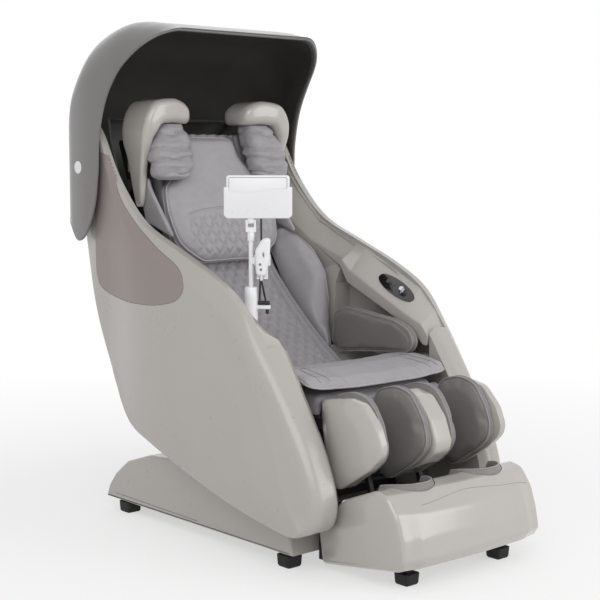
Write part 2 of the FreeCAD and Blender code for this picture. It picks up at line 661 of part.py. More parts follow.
def control_button(k):
    """A key with rounded corners, standing a little above its panel."""
    x, y = KEY_HALF_X, KEY_HALF_Y
    edge = [(-x, k * BUTTON_STEP - y, 3), (x, k * BUTTON_STEP - y, 3), (x, k * BUTTON_STEP + y, 3),
            (-x, k * BUTTON_STEP + y, 3)]
    key = stack([ring("xy", 2.8, edge, 2), ring("xy", 5.4, edge, 2), ring("xy", 6, inset(edge, 0.6), 2)])
    return on_deck(key, JOYSTICK_X, CONTROL_Y, -1)


# The tablet stand on the right armrest, drawn about its own axis: x along the tablet,
# -y away from the sitter; the tablet faces the sitter
STAND_X, STAND_Y, STAND_TURN = -SIDE_X - 12, -147.0, -41.7
STAND_TOP, POST_TOP = 636.0, 789.0
POST_R, POST_FIT = 5.5, 0.05
TRAY_X, TRAY_HALF, TRAY_HIGH = 17.0, 80.0, 73.0
HANDSET_LOW = 660.0


def at_stand(shape):
    placed = shape.copy()
    placed.Placement = FreeCAD.Placement(vec(STAND_X, STAND_Y, 0),
                                         FreeCAD.Rotation(vec(0, 0, 1), STAND_TURN))
    return placed


def stand_base():
    """The stand's foot: a bored sleeve, cut to the deck's slope, with an arm for the plug."""
    sleeve = flats_z(15, 540, STAND_TOP, 0, 0)
    arm = box(0, 46, -9, 9, 583, 592.7).cut(flats_z(4.3, 580, 600, 38, 0))
    base = sleeve.fuse(arm).cut(rod_z(POST_R + POST_FIT, 610, 640, 0, 0))
    placed = at_stand(base)
    block = Part.makePolygon([vec(0, -400, deck_z(-400, 0)), vec(0, 100, deck_z(100, 0)),
                              vec(0, 100, 0), vec(0, -400, 0), vec(0, -400, deck_z(-400, 0))])
    below = Part.Face(block).extrude(vec(400, 0, DECK_RISE / (CAVITY_X - SIDE_X) * 400))
    return placed.cut(mirrored(below))


def tablet_post():
    """The post that swivels in the foot, with the fork for the tray and the handset's cradle."""
    post = rod_z(POST_R, 610.5, POST_TOP - 20, 0, 0)
    head = box(-12, 12, -5, 5, POST_TOP - 24, POST_TOP + 5).cut(
        box(-7.3, 7.3, -6, 6, POST_TOP - 12, POST_TOP + 6))
    pin = rod_x(2, -8, 8, 0, POST_TOP)
    clip = box(-3, 26, -6.7, -3, 690, 706).fuse(box(8, 46, -6.7, -3.5, 686, 712))
    link = box(14, 40, -6.7, -3.5, HANDSET_LOW - 4.3, 690)
    shelf = box(14, 40, -24, -3.5, HANDSET_LOW - 4.3, HANDSET_LOW - 0.3)
    shelf = shelf.cut(box(20, 30, -25, -9, HANDSET_LOW - 5, HANDSET_LOW))
    return at_stand(post.fuse(head).fuse(pin).fuse(clip).fuse(link).fuse(shelf))


def tablet_tray():
    """The pocket that holds the tablet, open at the top and towards the sitter."""
    low, high = POST_TOP + 8, POST_TOP + 8 + TRAY_HIGH
    x0, x1 = TRAY_X - TRAY_HALF, TRAY_X + TRAY_HALF
    face = outline("xz", -8, [(x0, low, 10), (x1, low, 10), (x1, high, 2), (x0, high, 2)])
    body = prism(face, vec(0, 16, 0))
    body = body.cut(box(x0 + 4, x1 - 4, -5, 4.5, low + 4, high + 1))
    body = body.cut(box(x0 + 12, x1 - 12, 4, 9, low + 10, high + 1))
    knuckle = rod_x(5, -7, 7, 0, POST_TOP).fuse(box(-7, 7, -4, 4, POST_TOP, low + 1))
    return at_stand(body.fuse(knuckle).cut(rod_x(2 + PIN_FIT, -20, 20, 0, POST_TOP)))


def tablet():
    low = POST_TOP + 12.3
    x0, x1 = TRAY_X - TRAY_HALF + 6, TRAY_X + TRAY_HALF - 6
    face = outline("xz", -4.5, [(x0, low, 6), (x1, low, 6), (x1, low + 96, 6), (x0, low + 96, 6)])
    return at_stand(prism(face, vec(0, 8.5, 0)))


def handset():
    """The wired hand control: a slim curved bar, rounded above and tapering below."""
    low = HANDSET_LOW
    side = [(12, low + 4, 8), (34, low, 10), (44, 700, 30), (47, 752, 6), (28, 752, 20), (10, 722, 20)]
    body = pad("xz", side, [(-22, 5), (-19, 1), (-15, 0), (-9.5, 0), (-7, 2)])
    return at_stand(body.fuse(flats_z(4, low - 8, low + 2, 25, -14)))


CORD_D = 4.5
TABLET_CORD = [(24, 0, POST_TOP + 7.2), (25, 2, 735), (22.5, 2, 669), (20, 0, 603.6)]
HANDSET_CORD = [(25, -14, 651.2), (30, -12, 628), (34, 0, 604.5)]


def tube(points, diameter):
    """A cord: straight runs joined by arcs whose size follows the shorter run and the turn."""
    p = [vec(*q) for q in points]
    edges, here = [], p[0]
    for a, b, c in zip(p, p[1:], p[2:]):
        back, on = (a - b).normalize(), (c - b).normalize()
        turn = math.pi - back.getAngle(on)
        reach = 0.45 * min(a.distanceToPoint(b), b.distanceToPoint(c))
        radius = reach / math.tan(turn / 2)
        first, last = b + back * reach, b + on * reach
        middle = b + (back + on).normalize() * (radius / math.cos(turn / 2) - radius)
        edges += [Part.makeLine(here, first), Part.Arc(first, middle, last).toShape()]
        print("cord bend: radius %.1f mm, turn %.0f degrees" % (radius, math.degrees(turn)))
        here = last
    edges.append(Part.makeLine(here, p[-1]))
    path = Part.Wire(edges)
    section = Part.Wire([Part.makeCircle(diameter / 2, p[0], p[1] - p[0])])
    cord = path.makePipeShell([section], True, False)
    ideal = math.pi * diameter ** 2 / 4 * path.Length
    print("cord length %.0f mm, volume against section times length %.4f"
          % (path.Length, cord.Volume / ideal))
    return at_stand(cord)


def tablet_cord():
    return tube(TABLET_CORD, CORD_D)


def handset_cord():
    return tube(HANDSET_CORD, CORD_D)


def cord_plug():
    """The black plug that both cords end in: a bar along the arm with a leg down through it."""
    bar = flats_x(5, 16, 44, 0, 598)
    return at_stand(bar.fuse(flats_z(4, 572, 598, 38, 0)))


# The upholstery
def hip_pad():
    """Air cushion beside the hip, with its drawn-in edge."""
    shape = [(66, 531, 14), (10, 551, 30), (-170, 531, 40), (-228, 506, 30), (-250, 466, 20),
             (-222, 437, 12), (50, 411, 20), (76, 450, 10)]
    return pad("yz", shape, [(FRAME_OUT + 0.3, 9), (FRAME_OUT + 5, 3), (FRAME_OUT + 12, 0), (SIDE_X - 14, 0), (SIDE_X - 10, 3),
                             (SIDE_X - 0.3, 3)], 2)


def quilt_low(i, j, depth):
    """Depth at a node of the quilting: the diamonds' corners are sewn down, their middles stand."""
    return depth if (i + j) % 2 else 0.0


QUILT = 21.0                          # half a diamond
BACK_EDGE = SEAT_HALF - 35
PAD_BACK_Y, PAD_BACK_Z = 256.0, 646.0  # foot of the plane that the head pad lies on


def along_back(v, off=0.0):
    """A point of the side view, v up the leaning back and off to its front."""
    lean = math.radians(BACK_LEAN)
    return (PAD_BACK_Y + v * math.sin(lean) - off * math.cos(lean),
            PAD_BACK_Z + v * math.cos(lean) + off * math.sin(lean))


def back_profile():
    """The back cushion's front in the side view, in steps of half a diamond."""
    top, knee = along_back(378, -SEAT_GAP), along_back(2, -SEAT_GAP)
    curve = Part.Arc(vec(0, *knee), vec(0, 154, 545), vec(0, -50, 392)).toShape()
    steps = int(round(curve.Length / QUILT))
    return [top] + [(p.y, p.z) for p in curve.discretize(steps + 1)] + [(-71, 391)]


def back_cushion():
    """The back's pad in one piece: quilted between plain borders, its sides drawn in."""
    front = back_profile()
    rear = [(-71, 346), (-50, 346.5), (196, 516), (303, 672), (428, 990)]
    count = int(BACK_EDGE * 0.8 / QUILT)
    across = [(-BACK_EDGE, 12), (-BACK_EDGE + 6, 3), (-BACK_EDGE + 14, 0)]
    across = across + [(i * QUILT, None) for i in range(-count, count + 1)] + [
        (-x, d) for x, d in reversed(across)]
    rings = []
    for x, draw in across:
        points = []
        for j, (y, z) in enumerate(front):
            a = front[max(j - 1, 0)]
            b = front[min(j + 1, len(front) - 1)]
            size = math.hypot(b[0] - a[0], b[1] - a[1])
            deep = draw if draw is not None else quilt_low(round(x / QUILT), j, 5.0)
            if draw is None and (j < 2 or j > len(front) - 3 or abs(x) > count * QUILT - 1):
                deep = 1.0
            points.append(vec(x, y - (b[1] - a[1]) / size * deep, z + (b[0] - a[0]) / size * deep))
        shrink = draw or 0.0
        points += [vec(x, y + shrink * 0.3, z + shrink * 0.5) for y, z in rear[:1]]
        points += [vec(x, y - shrink * 0.3, z) for y, z in rear[1:]]
        rings.append(points)
    return stack(rings, quilted=True)


BOLSTER_INNER = [(300, 735, 10), (200, 622, 20), (100, 520, 20), (40, 470, 20), (40, 420, 10),
                 (70, 412, 10), (150, 470, 20), (235, 580, 20), (318, 722, 10)]
BOLSTER_OUTER = [(300, 752, 16), (180, 712, 30), (116, 620, 40), (124, 540, 30), (118, 490, 20),
                 (134, 470, 10), (160, 480, 20), (240, 585, 20), (322, 728, 10)]


def back_bolsters():
    """The raised sides of the lower back, the head pad lying over their upper ends."""
    low, high = BACK_EDGE + 0.3, SIDE_X - 1.7
    bolster = stack([ring("yz", low, inset(BOLSTER_INNER, 6)), ring("yz", low + 6, BOLSTER_INNER),
                     ring("yz", high - 6, BOLSTER_OUTER), ring("yz", high, inset(BOLSTER_OUTER, 5))])
    over = lean_back(box(-SEAT_HALF, SEAT_HALF, -20, 400, -SEAT_GAP, 140), PAD_BACK_Y, PAD_BACK_Z, BACK_LEAN)
    return both(bolster.cut(over))


HEAD_PAD = symmetric([(105, 4, 40), (172, 60, 60), (186, 150, 60), (180, 218, 30), (104, 300, 40),
                      (86, 366, 30)])


def head_pad():
    """The pillow pad: plain above, quilted in diamonds below its seam."""
    thick = HEAD_PAD_THICK
    body = pad("xy", HEAD_PAD, [(0, 10), (8, 1), (20, 0), (thick - 12, 2), (thick - 3, 9), (thick, 24)])
    rings = []
    for i in range(-6, 7):
        edge = abs(i) == 6
        row = [vec(i * QUILT, 20 + j * QUILT, thick + (0.3 if edge or j in (0, 7)
                                                       else 3.5 - quilt_low(i, j, 3.2)))
               for j in range(8)]
        rings.append(row + [vec(i * QUILT, 20 + 7 * QUILT, thick - 4), vec(i * QUILT, 20, thick - 4)])
    body = body.fuse(stack(rings, quilted=True))
    seam = box(-140, 140, 175, 178, thick - 2.5, thick + 1)
    return lean_back(body.cut(seam), PAD_BACK_Y, PAD_BACK_Z, BACK_LEAN)


def seat_cushion():
    """The seat, crowned and drawn in at its sides, with its quilting."""
    rings, count = [], int(SEAT_HALF * 0.8 / QUILT)
    edge = SEAT_HALF - 9.3
    across = [(-edge, 12), (-edge + 5, 4), (-edge + 14, 0)]
    across = across + [(i * QUILT, None) for i in range(-count, count + 1)] + [
        (-x, d) for x, d in reversed(across)]
    for x, draw in across:
        inner = draw is None
        crown = 4.0 * (1 - (x / edge) ** 2)
        top = []
        for j in range(12):
            y = -74 - j * QUILT
            deep = 0.0 if not inner or j in (0, 11) else quilt_low(round(x / QUILT), j, 4.0)
            top.append(vec(x, y, 390 + crown - deep - (draw or 0)))
        rings.append([vec(x, -74, 346)] + top + [vec(x, -316 + (draw or 0) * 0.5, 380 - (draw or 0) * 0.5),
                                                 vec(x, -317 + (draw or 0) * 0.5, 346)])
    return stack(rings, quilted=True)


def seat_flap():
    """The loose front flap of the seat, lying on it and over its front edge."""
    half = SEAT_HALF + 22
    rings = []
    for x, lift, front in ((-half, 10, -318), (-half + 7, 8, -330), (-150, 4, -348), (-60, 1, -356),
                           (60, 1, -356), (150, 4, -348), (half - 7, 8, -330), (half, 10, -318)):
        thin = 5.0 if abs(x) == half else 0.0
        low = [(-150, 393.8 + lift, 2), (-240, 393.8 + lift, 20), (-320, 392.8 + lift, 10),
               (front, 386.5 + lift, 3)]
        high = [(front - 3, 396 + lift - thin, 3), (-322, 413 + lift - thin, 14),
                (-240, 420 + lift - thin, 30), (-152, 409 + lift - thin, 4)]
        rings.append(ring("yz", x, low + high, 2))
    return stack(rings)


def wing_pad():
    """The slim upright pad between the back and the side, at shoulder height."""
    shape = [(204, 725, 6), (312, 862, 20), (322, 886, 10), (374, 896, 8), (340, 768, 20), (296, 755, 10)]
    return pad("yz", shape, [(FRAME_OUT + 0.3, 6), (FRAME_OUT + 3, 1), (FRAME_OUT + 9, 0),
                             (FRAME_OUT + 12.6, 4)], 2)


REAR_COVER = [(172, 345, 10), (330, 480, 60), (450, 620, 60), (552, 764, 60), (584, 880, 60),
              (578, 1000, 60), (530, 1050, 40), (486, 1040, 0), (477, 985, 0), (354, 655, 0),
              (251, 500, 0)]


def rear_cover():
    """The moulded cover of the back, open to the front, round the mechanism."""
    wide, wall = FRAME_OUT + 24, 5.0
    outer = slab(REAR_COVER, -wide, wide)
    core = inset(REAR_COVER, wall)
    core[0] = (150, 350, 0)
    core[-4:] = [(440, 1035, 0), (430, 985, 0), (300, 655, 0), (200, 500, 0)]
    return outer.cut(slab(core, wall - wide, wide - wall)).cut(
        box(-FRAME_OUT - 0.3, FRAME_OUT + 0.3, 100, 480, 300, 990))


# The hood
HOOD_ARCHES = [
    # (y, distance of its side inside HALF_WIDTH, top, corner radius)
    (165, 58, 1262, 100), (250, 42, 1279, 118), (330, 26, 1288, 128), (420, 20, 1268, 136),
    (500, 29, 1218, 150), (560, 57, 1160, 165), (600, 95, 1095, 165), (633, 146, 1010, 140),
    (654, 210, 918, 100)]
HOOD_RIM = [(160, 1300), (160, 1268), (200, 1244), (253, 1195), (300, 1145), (343, 1075), (369, 980),
            (374, 900), (384, 830), (408, 770), (440, 732), (475, 724), (520, 760), (665, 800),
            (665, 1300)]
HOOD_PIN_R = 9.0


def arch(y, half, top, radius, low, steps):
    corners = [(-half, low, 0), (-half, top, radius), (half, top, radius), (half, low, 0)]
    return ring("xz", y, corners, steps)


def hood_form(wall, steps):
    """The solid dome inside a given wall, before its rim is cut."""
    sections = []
    for i, (y, side, top, radius) in enumerate(HOOD_ARCHES):
        half = HALF_WIDTH - side
        last = i == len(HOOD_ARCHES) - 1
        first = i == 0
        slope = wall * (1.6 if y > 480 else 1.0)
        sections.append(arch(y - (wall if last else wall * 3 if first else 0), half - slope,
                             top - slope, radius - slope / 2, 600 - wall, steps))
    return stack(sections)


def side_view_prism(points):
    return prism(Part.makePolygon([vec(-400, y, z) for y, z in points + points[:1]]), vec(800, 0, 0))


def hood_shell():
    shell = hood_form(0, 5).cut(hood_form(HOOD_WALL, 4)).common(side_view_prism(HOOD_RIM))
    hub = flats_x(20, HUB_X, HUB_X + 8.5, HOOD_Y, HOOD_Z)
    eye = rod_x(HOOD_PIN_R + PIN_FIT, HUB_X - 3.5, HUB_X + 8, HOOD_Y, HOOD_Z)
    recess = flats_x(CAP_R + 0.6, HUB_X + 9.1, HUB_X + 21.5, HOOD_Y, HOOD_Z)
    for side in (lambda s: s, mirrored):
        shell = shell.fuse(side(hub)).cut(side(recess)).cut(side(eye))
    return shell


def hood_liner():
    """The dark padded liner inside the hood."""
    trim = [(y + 8 if y < 600 else y, z + (6 if z < 900 else -2)) for y, z in HOOD_RIM]
    liner = hood_form(HOOD_WALL + SEAT_GAP, 4).cut(hood_form(HOOD_WALL + LINER_WALL, 3))
    window = box(-400, 400, HOOD_Y - 40, HOOD_Y + 40, 700, HOOD_Z + 40)
    skirt = box(-400, 400, 380, 700, 690, 800)
    return liner.common(side_view_prism(trim)).cut(window).cut(skirt)


CAP_R = 17.0


def hood_caps():
    """The caps over the hood's pivots."""
    r = CAP_R
    edge = [(HOOD_Y - r, HOOD_Z - r, r), (HOOD_Y + r, HOOD_Z - r, r), (HOOD_Y + r, HOOD_Z + r, r),
            (HOOD_Y - r, HOOD_Z + r, r)]
    return both(stack([ring("yz", x, inset(edge, d) if d else edge, 4)
                       for x, d in ((HUB_X + 9.4, 0), (HUB_X + 14.5, 0), (HUB_X + 16, 1.5))]))


# The shoulder units
HOOK = [
    # (x outside FRAME_OUT, z, way of the run x and z, thickness, y in front, y behind, corner radius)
    (-109, 1060, 1, 0, 50, 292, 394, 14), (-103, 1060, 1, 0, 62, 283, 402, 18),
    (-51, 1062, 1, 0, 64, 276, 406, 18), (-6, 1056, 0.93, -0.37, 62, 270, 406, 18),
    (20, 1024, 0.6, -0.8, 48, 266, 402, 16), (29, 982, 0.12, -0.99, 32, 270, 396, 12),
    (25, 930, 0, -1, 24, 284, 366, 10), (24, 872, 0, -1, 22, 292, 344, 9),
    (22, 822, 0, -1, 18, 302, 326, 8), (22, 812, 0, -1, 10, 306, 321, 4)]


def shoulder_shell():
    """The glossy hook over one shoulder: a thick roof that turns down into a tapering arm."""
    rings = []
    for out, z, dx, dz, thick, front, rear, radius in HOOK:
        x, half = FRAME_OUT + out, thick / 2
        section = corner_points([(-half, front, radius), (half, front, radius),
                                 (half, rear, radius), (-half, rear, radius)], 2)
        rings.append([vec(x - n * dz, y, z + n * dx) for n, y in section])
    guide = box(FRAME_OUT + RUN_GAP, FRAME_OUT + 19, 384, 404, 900, 1010)
    return stack(rings).fuse(guide)


def shoulder_sleeve():
    """The gathered leather bag under the roof: soft folds, bulging forward over the head pad."""
    rings, folds = [], 4
    for i in range(2 * folds + 1):
        k = i / (2 * folds)
        swell, forward = (4.5 if i % 2 else 0), math.sin(k * math.pi / 2)
        x0, x1 = FRAME_OUT - 97 + 10 * k - swell, FRAME_OUT - 21 + 20 * min(1, 2.5 * k) + swell
        y0, y1 = 298 - 60 * forward - swell, 360 - 75 * forward + swell
        draw = 12 if i == 2 * folds else 0
        x0, x1, y0, y1 = x0 + draw, x1 - draw, y0 + draw, y1 - draw
        tilt = 0 if i in (0, 2 * folds) else 0.1 if i % 4 == 1 else -0.06
        z = 1026.6 - 146 * k
        corners = corner_points([(x0, y0, 22), (x1, y0, 22), (x1, y1, 16), (x0, y1, 16)], 2)
        rings.append([vec(a, b, z + (a - (x0 + x1) / 2) * tilt) for a, b in corners])
    return stack(rings)


# The leg rest
CALF_IN = LEG_HALF - 32               # inner face of the calf shells
CALF_SHELL = [(-352, 330, 8), (-352, 390, 12), (-440, 404, 20), (-486, 396, 30), (-530, 350, 40),
              (-548, 306, 22), (-540, 281, 22), (-508, 250, 20), (-410, 188, 16), (-372, 200, 10)]


def calf_shell():
    """Glossy outer shell of a calf wall, slotted behind for the hinge arm, with the hinge pin."""
    shell = pad("yz", CALF_SHELL, [(CALF_IN, 0), (CALF_IN + 20, 0), (LEG_HALF - 5, 4), (LEG_HALF, 16)])
    swing = 58.0
    slot = slab([(LEG_Y - 18, LEG_Z + 40, 0), (LEG_Y - 18, LEG_Z - 8, 0), (LEG_Y - 8, LEG_Z - 18, 0),
                 (LEG_Y + 20, LEG_Z - swing, 0), (-340, LEG_Z - swing - 40, 0), (-340, LEG_Z + 40, 0)],
                FRAME_OUT - FRAME_PLATE - 1, FRAME_OUT + 1)
    return shell.cut(slot).fuse(rod_x(LEG_PIN_R, CALF_IN, FRAME_OUT + 13, LEG_Y, LEG_Z))


CALF_PAD = [(-368, 330, 14), (-366, 392, 16), (-425, 408, 20), (-474, 400, 30), (-508, 352, 40),
            (-526, 300, 20), (-518, 276, 20), (-490, 246, 20), (-412, 194, 16), (-384, 206, 12)]


def calf_pads_outer():
    """Air cushions on the inner faces of the calf shells, crowned and drawn in at the rim."""
    return both(pad("yz", CALF_PAD, [(CALF_IN - 28, 18), (CALF_IN - 26, 8), (CALF_IN - 20, 1), (CALF_IN - 8, 0),
                                     (CALF_IN - 5, 3), (CALF_IN - SEAT_GAP, 3)], 2))


def calf_pads_inner():
    """Air cushions on both faces of the middle wall."""
    return both(pad("yz", CALF_PAD, [(28.3, 3), (34, 3), (38, 0), (50, 1), (55, 8), (57, 18)], 2))


def calf_divider():
    """The middle wall's plastic spine, rounded in front."""
    side = [(-366.5, 330, 2), (-370, 386, 14), (-430, 402, 20), (-480, 392, 30), (-520, 346, 40),
            (-540, 292, 22), (-534, 268, 20), (-500, 238, 20), (-412, 196, 16), (-384, 204, 2)]
    return pad("yz", side, [(-28, 5), (-23, 0), (23, 0), (28, 5)])


def leg_run(shape):
    """Leans an upright leg-rest piece by the lean of its run, about the hinge."""
    moved = shape.copy()
    moved.rotate(vec(0, LEG_Y, LEG_Z), vec(1, 0, 0), -LEG_LEAN)
    return moved


BAR_X, BAR_HALF, BAR_BACK = 84.0, 6.0, 101.0


def run_out_bar(side, z0, z1, gap):
    """One of the two square bars that the foot section runs out on."""
    half, x, y = BAR_HALF + gap, side * BAR_X, LEG_Y + BAR_BACK
    return leg_run(box(x - half, x + half, y - half, y + half, z0, z1))


def leg_frame():
    """Back plate behind the calf troughs, and the two run-out bars."""
    plate = slab([(-383, 204, 0), (-371, 198, 0), (-349, 300, 10), (-349, 330, 0), (-366.2, 332, 0),
                  (-366.2, 300, 10)], SEAT_GAP - CALF_IN, CALF_IN - SEAT_GAP)
    for side in (-1, 1):
        plate = plate.fuse(run_out_bar(side, LEG_Z - 316, LEG_Z - 106, 0))
    return plate


FOOT_SIDE = [(-362, 90, 12), (-376, 15, 6), (-470, 28, 20), (-620, 50, 12),
             (-637, 73, 12), (-628, 120, 40), (-612, 169, 40), (-582, 209, 20), (-548, 217, 20), (-438, 174, 6)]
FOOT_BULGE = 18.0
WELL_X, WELL_Y, WELL_HALF, WELL_FRONT = FOOT_HALF / 2, -515.0, FOOT_HALF / 2 - 40, 76.0


def bulged(corners, amount):
    """The foot section's side view, its front pushed out."""
    return [(a - amount if a < -600 else a - amount * 0.5 if a < -550 else a, b, r) for a, b, r in corners]


def well_edge(x, z, draw=0.0):
    """Plan of a foot well: round in front, straight at the sides, open to the calf behind."""
    half, front = WELL_HALF - draw, WELL_FRONT - draw
    points = [(x - half * math.cos(math.radians(a)), WELL_Y - front * math.sin(math.radians(a)))
              for a in range(0, 181, 15)]
    return points, z


def foot_well(x):
    points, z = well_edge(x, 62)
    plan = points + [(x + WELL_HALF - 6, -424), (x - WELL_HALF + 6, -424)]
    return prism(Part.makePolygon([vec(a, b, z) for a, b in plan + plan[:1]]), vec(0, 0, 200))


def foot_shell():
    """The foot section: a front that bulges, two open wells and sleeves for the run-out bars."""
    half = FOOT_HALF
    stations = [(-half, 7, 0), (-half + 7, 0, 0), (-half + 56, 0, 13), (0, 0, FOOT_BULGE),
                (half - 56, 0, 13), (half - 7, 0, 0), (half, 7, 0)]
    body = stack([ring("yz", x, inset(bulged(FOOT_SIDE, b), d) if d else bulged(FOOT_SIDE, b))
                  for x, d, b in stations])
    for side in (-1, 1):
        body = body.cut(foot_well(side * WELL_X))
        body = body.cut(run_out_bar(side, -60, LEG_Z - 100, 0.3))
    y, z = FOOT_ROLLER
    return body.cut(rod_x(4 + PIN_FIT, -FOOT_HALF + 20, FOOT_HALF - 20, y, z))


def foot_pads():
    """The padded lining of each well, higher than its rim in front."""
    pads = []
    for side in (-1, 1):
        x = side * WELL_X
        rings = []
        for z, draw in ((66, 3), (74, SEAT_GAP + 0.4), (188, SEAT_GAP + 0.4), (198, 3)):
            outer, inner = well_edge(x, z, draw)[0], well_edge(x, z, 16 - draw * 0.8)[0]
            rings.append([vec(a, b, z) for a, b in outer + inner[::-1]])
        shaft = box(-FOOT_HALF, FOOT_HALF, FOOT_ROLLER[0] - 4.4, FOOT_ROLLER[0] + 4.4, 60,
                    FOOT_ROLLER[1] + 4.4)
        pads.append(stack(rings).cut(shaft))
    return Part.makeCompound(pads)


FOOT_ROLLER = (-515.0, 84.0)


def foot_rollers():
    """Massage rollers under the soles, on one shaft through the section."""
    y, z = FOOT_ROLLER
    body = rod_x(4, -FOOT_HALF + 24, FOOT_HALF - 24, y, z)
    for x in (-WELL_X, WELL_X):
        body = body.fuse(flats_x(12, x - 34, x + 34, y, z))
    return body


def foot_bumpers():
    """Rubber bumpers under the foot section, plugged into its underside."""
    x = FOOT_HALF - 76
    return Part.makeCompound([rubber_foot(side * x, -572, 44, 26).fuse(
        box(side * x - 9, side * x + 9, -581, -563, 25, 40.2)) for side in (-1, 1)])


NODES = {
    "base_frame": base_frame, "base_cover": base_cover, "base_nose": base_nose,
    "rubber_feet": rubber_feet, "slide_rails": slide_rails, "control_box": control_box,
    "power_inlet": power_inlet, "mains_switch": mains_switch,
    "slide_carriage": slide_carriage, "tilt_motor": tilt_motor,
    "seat_frame": seat_frame, "air_pump": air_pump, "guide_rails": guide_rails,
    "side_panel_left": side_panel, "side_panel_right": lambda: mirrored(side_panel()),
    "side_inlays": lambda: both(inlay_plate()),
    "armrest_left": armrest, "armrest_right": lambda: mirrored(armrest()),
    "joystick_panel": joystick_panel, "joystick": joystick, "control_panel": control_panel,
    "button_front": lambda: control_button(-1), "button_middle": lambda: control_button(0),
    "button_rear": lambda: control_button(1),
    "stand_base": stand_base, "tablet_post": tablet_post, "tablet_tray": tablet_tray,
    "tablet": tablet, "handset": handset, "tablet_cord": tablet_cord,
    "handset_cord": handset_cord, "cord_plug": cord_plug,
    "hip_pads": lambda: both(hip_pad()), "seat_cushion": seat_cushion, "seat_flap": seat_flap,
    "seat_fascia": seat_fascia, "back_cushion": back_cushion, "back_bolsters": back_bolsters,
    "head_pad": head_pad, "wing_pads": lambda: both(wing_pad()), "rear_cover": rear_cover,
    "hood_shell": hood_shell, "hood_liner": hood_liner, "hood_caps": hood_caps,
    "shoulder_shell_left": shoulder_shell, "shoulder_shell_right": lambda: mirrored(shoulder_shell()),
    "shoulder_sleeve_left": shoulder_sleeve,
    "shoulder_sleeve_right": lambda: mirrored(shoulder_sleeve()),
    "massage_carriage": massage_carriage, "massage_rollers": massage_rollers,
    "leg_frame": leg_frame, "calf_shell_left": calf_shell,
    "calf_shell_right": lambda: mirrored(calf_shell()), "calf_divider": calf_divider,
    "calf_pads_outer": calf_pads_outer, "calf_pads_inner": calf_pads_inner,
    "foot_shell": foot_shell, "foot_pads": foot_pads, "foot_rollers": foot_rollers,
    "foot_bumpers": foot_bumpers,
}


if __name__ == "__main__":
    os.makedirs("parts", exist_ok=True)
    for name, make in NODES.items():
        shape = make()
        print(name, "valid" if shape.isValid() else "NOT VALID", "solids", len(shape.Solids),
              "volume %.0f cm3" % (shape.Volume / 1000))
        shape.exportStep("parts/%s.step" % name)
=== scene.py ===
"""Hooded massage chair: the finished looks of its pieces, over the measured frame.

Metres, +Z up, the sitter faces -Y. Lengths in the tables below are millimetres.
"""

import bpy
import bmesh
import math
from mathutils import Matrix, Vector, noise
from mathutils.bvhtree import BVHTree
from mathutils.geometry import delaunay_2d_cdt
from mathutils.kdtree import KDTree


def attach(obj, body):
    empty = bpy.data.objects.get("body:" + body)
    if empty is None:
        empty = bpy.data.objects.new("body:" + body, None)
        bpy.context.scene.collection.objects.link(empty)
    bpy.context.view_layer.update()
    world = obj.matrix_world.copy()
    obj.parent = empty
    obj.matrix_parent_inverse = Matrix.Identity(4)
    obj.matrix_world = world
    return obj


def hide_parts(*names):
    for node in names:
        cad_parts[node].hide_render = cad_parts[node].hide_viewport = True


bl_info = {
    "name": "Massage chair",
    "version": (1, 0, 0),
    "blender": (4, 5, 0),
    "location": "View3D > Sidebar > Chair",
    "description": "Makes the shells, upholstery and fittings of a hooded massage chair",
    "category": "Object",
}

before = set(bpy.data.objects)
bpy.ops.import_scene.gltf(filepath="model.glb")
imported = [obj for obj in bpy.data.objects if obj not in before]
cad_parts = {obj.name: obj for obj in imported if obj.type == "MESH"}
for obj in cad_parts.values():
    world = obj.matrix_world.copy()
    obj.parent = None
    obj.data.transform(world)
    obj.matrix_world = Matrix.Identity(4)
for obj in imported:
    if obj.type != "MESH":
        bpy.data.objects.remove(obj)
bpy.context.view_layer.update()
MM = 0.001


# Curves
def rounded(corners, steps=6):
    """Corners (a, b, r) of a closed outline, rounded in steps."""
    points, count = [], len(corners)
    for i, (a, b, radius) in enumerate(corners):
        before, after = corners[i - 1], corners[(i + 1) % count]
        p, q = math.hypot(before[0] - a, before[1] - b), math.hypot(after[0] - a, after[1] - b)
        u, w = ((before[0] - a) / p, (before[1] - b) / p), ((after[0] - a) / q, (after[1] - b) / q)
        half = math.acos(max(-1, min(1, u[0] * w[0] + u[1] * w[1]))) / 2
        radius = min(radius, 0.49 * min(p, q) * math.tan(half))
        if radius < 0.05:
            points.append((a, b))
            continue
        c, d = u[0] + w[0], u[1] + w[1]
        size, far = math.hypot(c, d), radius / math.sin(half)
        middle = (a + c / size * far, b + d / size * far)
        reach = radius / math.tan(half)
        start = math.atan2(b + u[1] * reach - middle[1], a + u[0] * reach - middle[0])
        turn = math.pi - 2 * half
        if u[0] * w[1] - u[1] * w[0] > 0:
            turn = -turn
        points += [(middle[0] + radius * math.cos(start + turn * k / steps),
                    middle[1] + radius * math.sin(start + turn * k / steps)) for k in range(steps + 1)]
    return points


def oblong(a0, a1, b0, b1, low, high=None):
    """The corners of an oblong, rounded by low at its first side and by high at its far one."""
    high = low if high is None else high
    return [(a0, b0, low), (a1, b0, low), (a1, b1, high), (a0, b1, high)]


def even(points, count, closed=True):
    """The same line with its points spaced evenly."""
    line = [tuple(p) for p in points] + ([tuple(points[0])] if closed else [])
    reach = [0.0]
    for a, b in zip(line, line[1:]):
        reach.append(reach[-1] + math.dist(a, b))
    result, j = [], 0
    for k in range(count):
        at = reach[-1] * k / (count if closed else count - 1)
        while j < len(line) - 2 and reach[j + 1] < at:
            j += 1
        span = reach[j + 1] - reach[j]
        t = (at - reach[j]) / span if span else 0.0
        result.append(tuple(p + (q - p) * t for p, q in zip(line[j], line[j + 1])))
    return result


